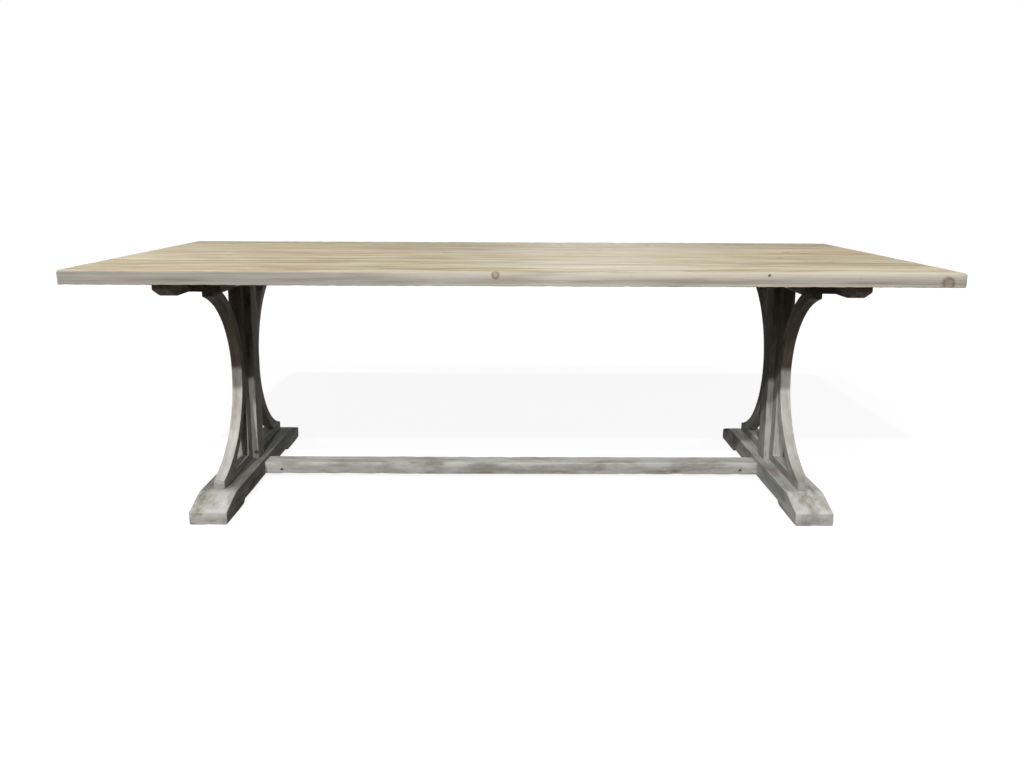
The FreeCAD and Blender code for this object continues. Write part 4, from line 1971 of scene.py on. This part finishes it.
@dataclass
class Hardware:
    """Hexagon bolts and washers under the head rails and in the feet.

    Attributes:
        shop: What makes the pieces.
        flats: Width of a bolt's head across its flats.
        head: Height of a bolt's head.
        head_ease: Easing of its edges.
        shank: Radius of a bolt.
        shank_sides: Flats round it.
        washer_radius: Radius of a washer.
        washer_hole: Radius of its hole.
        washer_height: Its thickness.
        top_offset: Distance of the top bolts from the middle of the rail.
        bolted: Numbers of the planks that take the top bolts.
        bolt_length: Length of a stretcher bolt under its head.
    """

    shop: Workshop
    flats: float = 0.010
    head: float = 0.004
    head_ease: float = 0.001 / 3
    shank: float = 0.003
    shank_sides: int = 20
    washer_radius: float = 0.009
    washer_hole: float = 0.0035
    washer_height: float = 0.0016
    top_offset: float = 0.032
    bolted: tuple[int, int] = (3, 5)
    bolt_length: float = 0.160

    def build(self) -> None:
        """Makes all bolts and washers."""
        self.top_bolts()
        self.stretcher_bolts()

    def hexagon(self, span: Point, centre: Place, axes: Axes) -> Shell:
        """Makes a hexagon head with eased edges.

        Args:
            span: Low and high face along the bolt.
            centre: A point on the bolt's axis.
            axes: Directions of the head's outline and of the bolt.

        Returns:
            The closed skin.
        """
        corners = self.flats / math.sqrt(3) * circle(6)
        ease = self.head_ease
        outline = polygon([tuple(corner) for corner in corners], [ease] * len(corners), self.flats / 4)
        shell = prism(outline, span, ease, axes, seeded("hexagon"), rings=2, hold=ease / 3, uneven=0.0)
        shell.points += np.array(centre)
        return shell

    def bolt(self, head: Point, tip: float, centre: Place, axes: Axes) -> list[Shell]:
        """Makes a bolt.

        Args:
            head: Outer and inner face of its head along its axis.
            tip: Its end.
            centre: A point on its axis.
            axes: Directions of its section and of its axis.

        Returns:
            The closed skins of its head and of its shank.
        """
        shank = tuple(sorted((head[1], tip)))
        return [
            self.hexagon(tuple(sorted(head)), centre, axes),
            rod(self.shank, shank, centre, axes, self.shank_sides),
        ]

    def plain_washer(self, seat: float, face: float, centre: Place, axes: Axes) -> Shell:
        """Makes a washer on its seat, from the places of its two faces along its axis."""
        span = tuple(sorted((seat, face)))
        return washer(self.washer_radius, self.washer_hole, span, centre, axes)

    def top_bolts(self) -> None:
        """Makes the bolts that hold the head rails to the planks."""
        low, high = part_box("top_bolts")
        bolts, washers = [], []
        for side in Side:
            near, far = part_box(f"{side.value}_head_rail")
            middle = (near.x + far.x) / 2
            for number in self.bolted:
                front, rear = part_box(f"top_board_{number}")
                for offset in (-self.top_offset, self.top_offset):
                    centre = (middle + offset, (front.y + rear.y) / 2, 0)
                    bolts += self.bolt((low.z, low.z + self.head), high.z, centre, Axes.PLAN)
                    face = near.z - self.washer_height
                    washers.append(self.plain_washer(near.z, face, centre, Axes.PLAN))
        self.shop.fastener("top_hex_bolts", bolts, "top_bolts")
        self.shop.fastener("top_plain_washers", washers, "top_bolt_washers")

    def stretcher_bolts(self) -> None:
        """Makes the bolts that draw the feet against the stretcher."""
        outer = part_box("stretcher_bolts")[1].x
        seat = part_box("stretcher_washers")[1].x
        inner = outer - self.head
        tip = inner - self.bolt_length
        centre = (0, 0, BOLT_HEIGHT)
        bolts, washers = [], []
        for sign in (-1, 1):
            bolts += self.bolt((sign * outer, sign * inner), sign * tip, centre, Axes.SIDE)
            face = sign * (seat - self.washer_height)
            washers.append(self.plain_washer(sign * seat, face, centre, Axes.SIDE))
        self.shop.fastener("stretcher_hex_bolts", bolts, "stretcher_bolts")
        self.shop.fastener("stretcher_plain_washers", washers, "stretcher_washers")


@dataclass
class PhotoCamera:
    """The camera that took the photograph.

    Attributes:
        place: Where it stands.
        yaw: Its turn to the right.
        pitch: Its tilt downwards.
        roll: Its turn about its own axis.
        focal: Focal length in pixels.
        principal: Pixel that the axis passes through.
        size: Width and height of the picture in pixels.
        sensor: Sensor width in millimetres.
    """

    place: Place = (-0.0142, -2.6332, 0.9912)
    yaw: float = 0.0054
    pitch: float = 0.1794
    roll: float = 0.0044
    focal: float = 816.1
    principal: Point = (512.0, 326.0)
    size: Point = (1024.0, 768.0)
    sensor: float = 36.0

    def build(self) -> None:
        """Makes the camera and hands it to the scene."""
        data = bpy.data.cameras.new("photo_camera")
        data.sensor_width = self.sensor
        data.lens = self.focal * self.sensor / self.size[0]
        data.shift_x = (self.size[0] / 2 - self.principal[0]) / self.size[0]
        data.shift_y = (self.principal[1] - self.size[1] / 2) / self.size[0]
        level, steep = math.cos(self.pitch), math.sin(self.pitch)
        forward = Vector((math.sin(self.yaw) * level, math.cos(self.yaw) * level, -steep))
        flat_right = Vector((math.cos(self.yaw), -math.sin(self.yaw), 0))
        flat_up = flat_right.cross(forward)
        right = math.cos(self.roll) * flat_right + math.sin(self.roll) * flat_up
        up = math.cos(self.roll) * flat_up - math.sin(self.roll) * flat_right
        turn = Matrix((right, up, -forward)).transposed().to_4x4()
        camera = placed("photo_camera", data)
        camera.matrix_world = Matrix.Translation(self.place) @ turn
        bpy.context.scene.camera = camera
        LOG.info("camera lens %.2f mm, shift %.4f", data.lens, data.shift_y)


@dataclass(frozen=True)
class NearLamp:
    """A square lamp that faces the table.

    Attributes:
        name: Its name.
        place: Where it hangs.
        power: Its power in watts.
        size: Its side.
        aim: The point that it faces.
    """

    name: str
    place: Place
    power: float
    size: float
    aim: Place = (0.0, 0.0, 0.5)

    def hang(self) -> None:
        """Hangs the lamp."""
        data = bpy.data.lights.new(self.name, "AREA")
        data.energy = self.power
        data.size = self.size
        lamp = placed(self.name, data)
        lamp.location = self.place
        lamp.rotation_euler = (Vector(self.place) - Vector(self.aim)).to_track_quat("Z", "Y").to_euler()


@dataclass(frozen=True)
class DistantLamp:
    """A broad distant lamp.

    Attributes:
        name: Its name.
        azimuth: Degrees to the right of the front of the table that it stands at.
        elevation: Degrees above the floor.
        strength: Light on a surface that faces it.
        angle: Degrees across, which softens its shadows.
        colour: Colour of its light.
    """

    name: str
    azimuth: float
    elevation: float
    strength: float
    angle: float
    colour: Colour = WHITE

    def hang(self) -> None:
        """Hangs the lamp."""
        data = bpy.data.lights.new(self.name, "SUN")
        data.energy = self.strength
        data.color = self.colour
        data.angle = math.radians(self.angle)
        around, above = math.radians(self.azimuth), math.radians(self.elevation)
        level = math.cos(above)
        towards = Vector((math.sin(around) * level, -math.cos(around) * level, math.sin(above)))
        placed(self.name, data).rotation_euler = towards.to_track_quat("Z", "Y").to_euler()


@dataclass
class Studio:
    """Pale floor, two lamps in front, one at each end, fills before and behind, and white surroundings.

    Attributes:
        floor_half: Half the floor's side.
        floor_white: Share of the floor's own white that the camera sees near the table.
        floor_fade: Distances over which the floor becomes all white.
        floor_tint: Colour of the floor under the lamps.
        floor_bounce: Colour that the floor throws back at the table.
        sky: Light from all round.
        shade: Colour of that light.
        ceiling: Height of a direction above the level, and the further light from there.
        lamps: All lamps.
    """

    floor_half: float = 60.0
    floor_white: float = 0.9
    floor_fade: Step = Step(1.5, 4.5)
    floor_tint: Colour = (0.2, 0.2, 0.2)
    floor_bounce: Colour = (0.026, 0.017, 0.009)
    sky: float = 0.004
    shade: Colour = (1.0, 0.76, 0.48)
    ceiling: Step = Step(0.25, 0.9, 0.1)
    lamps: tuple[NearLamp | DistantLamp, ...] = (
        NearLamp("low_lamp", place=(-0.55, -5.0, 4.27), power=166.0, size=0.14),
        NearLamp("high_lamp", place=(-1.6, -4.82, 4.83), power=256.0, size=0.14),
        NearLamp("left_lamp", place=(-2.6, 0.0, 1.2), power=7.0, size=0.3),
        NearLamp("right_lamp", place=(2.6, 0.0, 1.2), power=8.0, size=0.3),
        DistantLamp("front_fill", -8.0, 26.0, strength=0.25, angle=30.0, colour=(1.0, 0.9, 0.76)),
        DistantLamp("back_fill", 174.0, 6.0, strength=0.95, angle=10.0),
    )

    def build(self) -> None:
        """Makes the floor, the world and the lamps."""
        bpy.context.scene.view_settings.view_transform = "Standard"
        self.floor()
        self.world()
        for lamp in self.lamps:
            lamp.hang()

    def seen(self, g: Graph) -> Socket:
        """Gives 1 on rays that show the surroundings, and 0 on rays that only carry their light.

        Args:
            g: Graph of the floor's material or of the world.

        Returns:
            The 1 or 0.
        """
        node = g.add("ShaderNodeLightPath")
        rays = ("Is Camera Ray", "Is Glossy Ray", "Is Transmission Ray")
        camera, glossy, through = (Socket(g, node.outputs[name]) for name in rays)
        return (camera + glossy + through).clamped()

    def floor(self) -> None:
        """Makes the floor: white to the eye, with the table's shadow, and dim to the table."""
        mesh = bpy.data.meshes.new("studio_floor")
        corners = self.floor_half * np.array([(-1, -1, 0), (1, -1, 0), (1, 1, 0), (-1, 1, 0)])
        mesh.from_pydata(corners, [], [(0, 1, 2, 3)])
        material, g = new_material("studio_floor")
        x, y, _ = g.place()
        far = self.floor_fade.of((x * x + y * y).root())
        strength = far * (1.0 - self.floor_white) + self.floor_white
        glow = g.add("ShaderNodeEmission", None, {"Strength": strength})
        lit = g.add("ShaderNodeBsdfDiffuse", None, {"Color": opaque(self.floor_tint)})
        shown = g.add("ShaderNodeAddShader", None, {0: glow.outputs[0], 1: lit.outputs[0]})
        dim = g.add("ShaderNodeBsdfDiffuse", None, {"Color": opaque(self.floor_bounce)})
        inputs = {0: self.seen(g), 1: dim.outputs[0], 2: shown.outputs[0]}
        mixed = g.add("ShaderNodeMixShader", None, inputs)
        g.add("ShaderNodeOutputMaterial", None, {"Surface": mixed.outputs[0]})
        mesh.materials.append(material)
        placed("studio_floor", mesh)

    def world(self) -> None:
        """Makes the surroundings: white to the eye, and a dim room with a lighter ceiling to the table."""
        world = bpy.data.worlds.new("studio")
        world.use_nodes = True
        bpy.context.scene.world = world
        g = Graph(world.node_tree)
        node = g.add("ShaderNodeTexCoord")
        _, _, height = g.split(node.outputs["Generated"])
        above = self.ceiling.of(height)
        light = g.blend(above / (above + self.sky), self.shade, WHITE)
        seen = self.seen(g)
        strength = (above + self.sky) * (1.0 - seen) + seen
        inputs = {"Color": g.blend(seen, light, WHITE), "Strength": strength}
        shader = g.add("ShaderNodeBackground", None, inputs)
        g.add("ShaderNodeOutputWorld", None, {"Surface": shader.outputs[0]})


def main() -> None:
    """Builds the table and its studio."""
    logging.basicConfig(level=logging.INFO, format="%(name)s: %(message)s")
    PhotoCamera().build()
    Studio().build()
    shop = Workshop()
    TableTop(shop).build()
    # The last value of each foot is painted shade, stronger on the left.
    Pedestal(shop, Side.LEFT, foot_light=0.91, foot_shade=0.62).build()
    Pedestal(shop, Side.RIGHT, foot_light=1.03, foot_shade=0.25).build()
    Stretcher(shop).build()
    Hardware(shop).build()
    shop.hidden(["board_tongues", "brace_dowels", "sill_dowels", "head_strip_dowels"], shop.beech)
    shop.hidden(["top_bolt_inserts", "barrel_nuts"], shop.zinc)


if __name__ == "__main__":
    main()
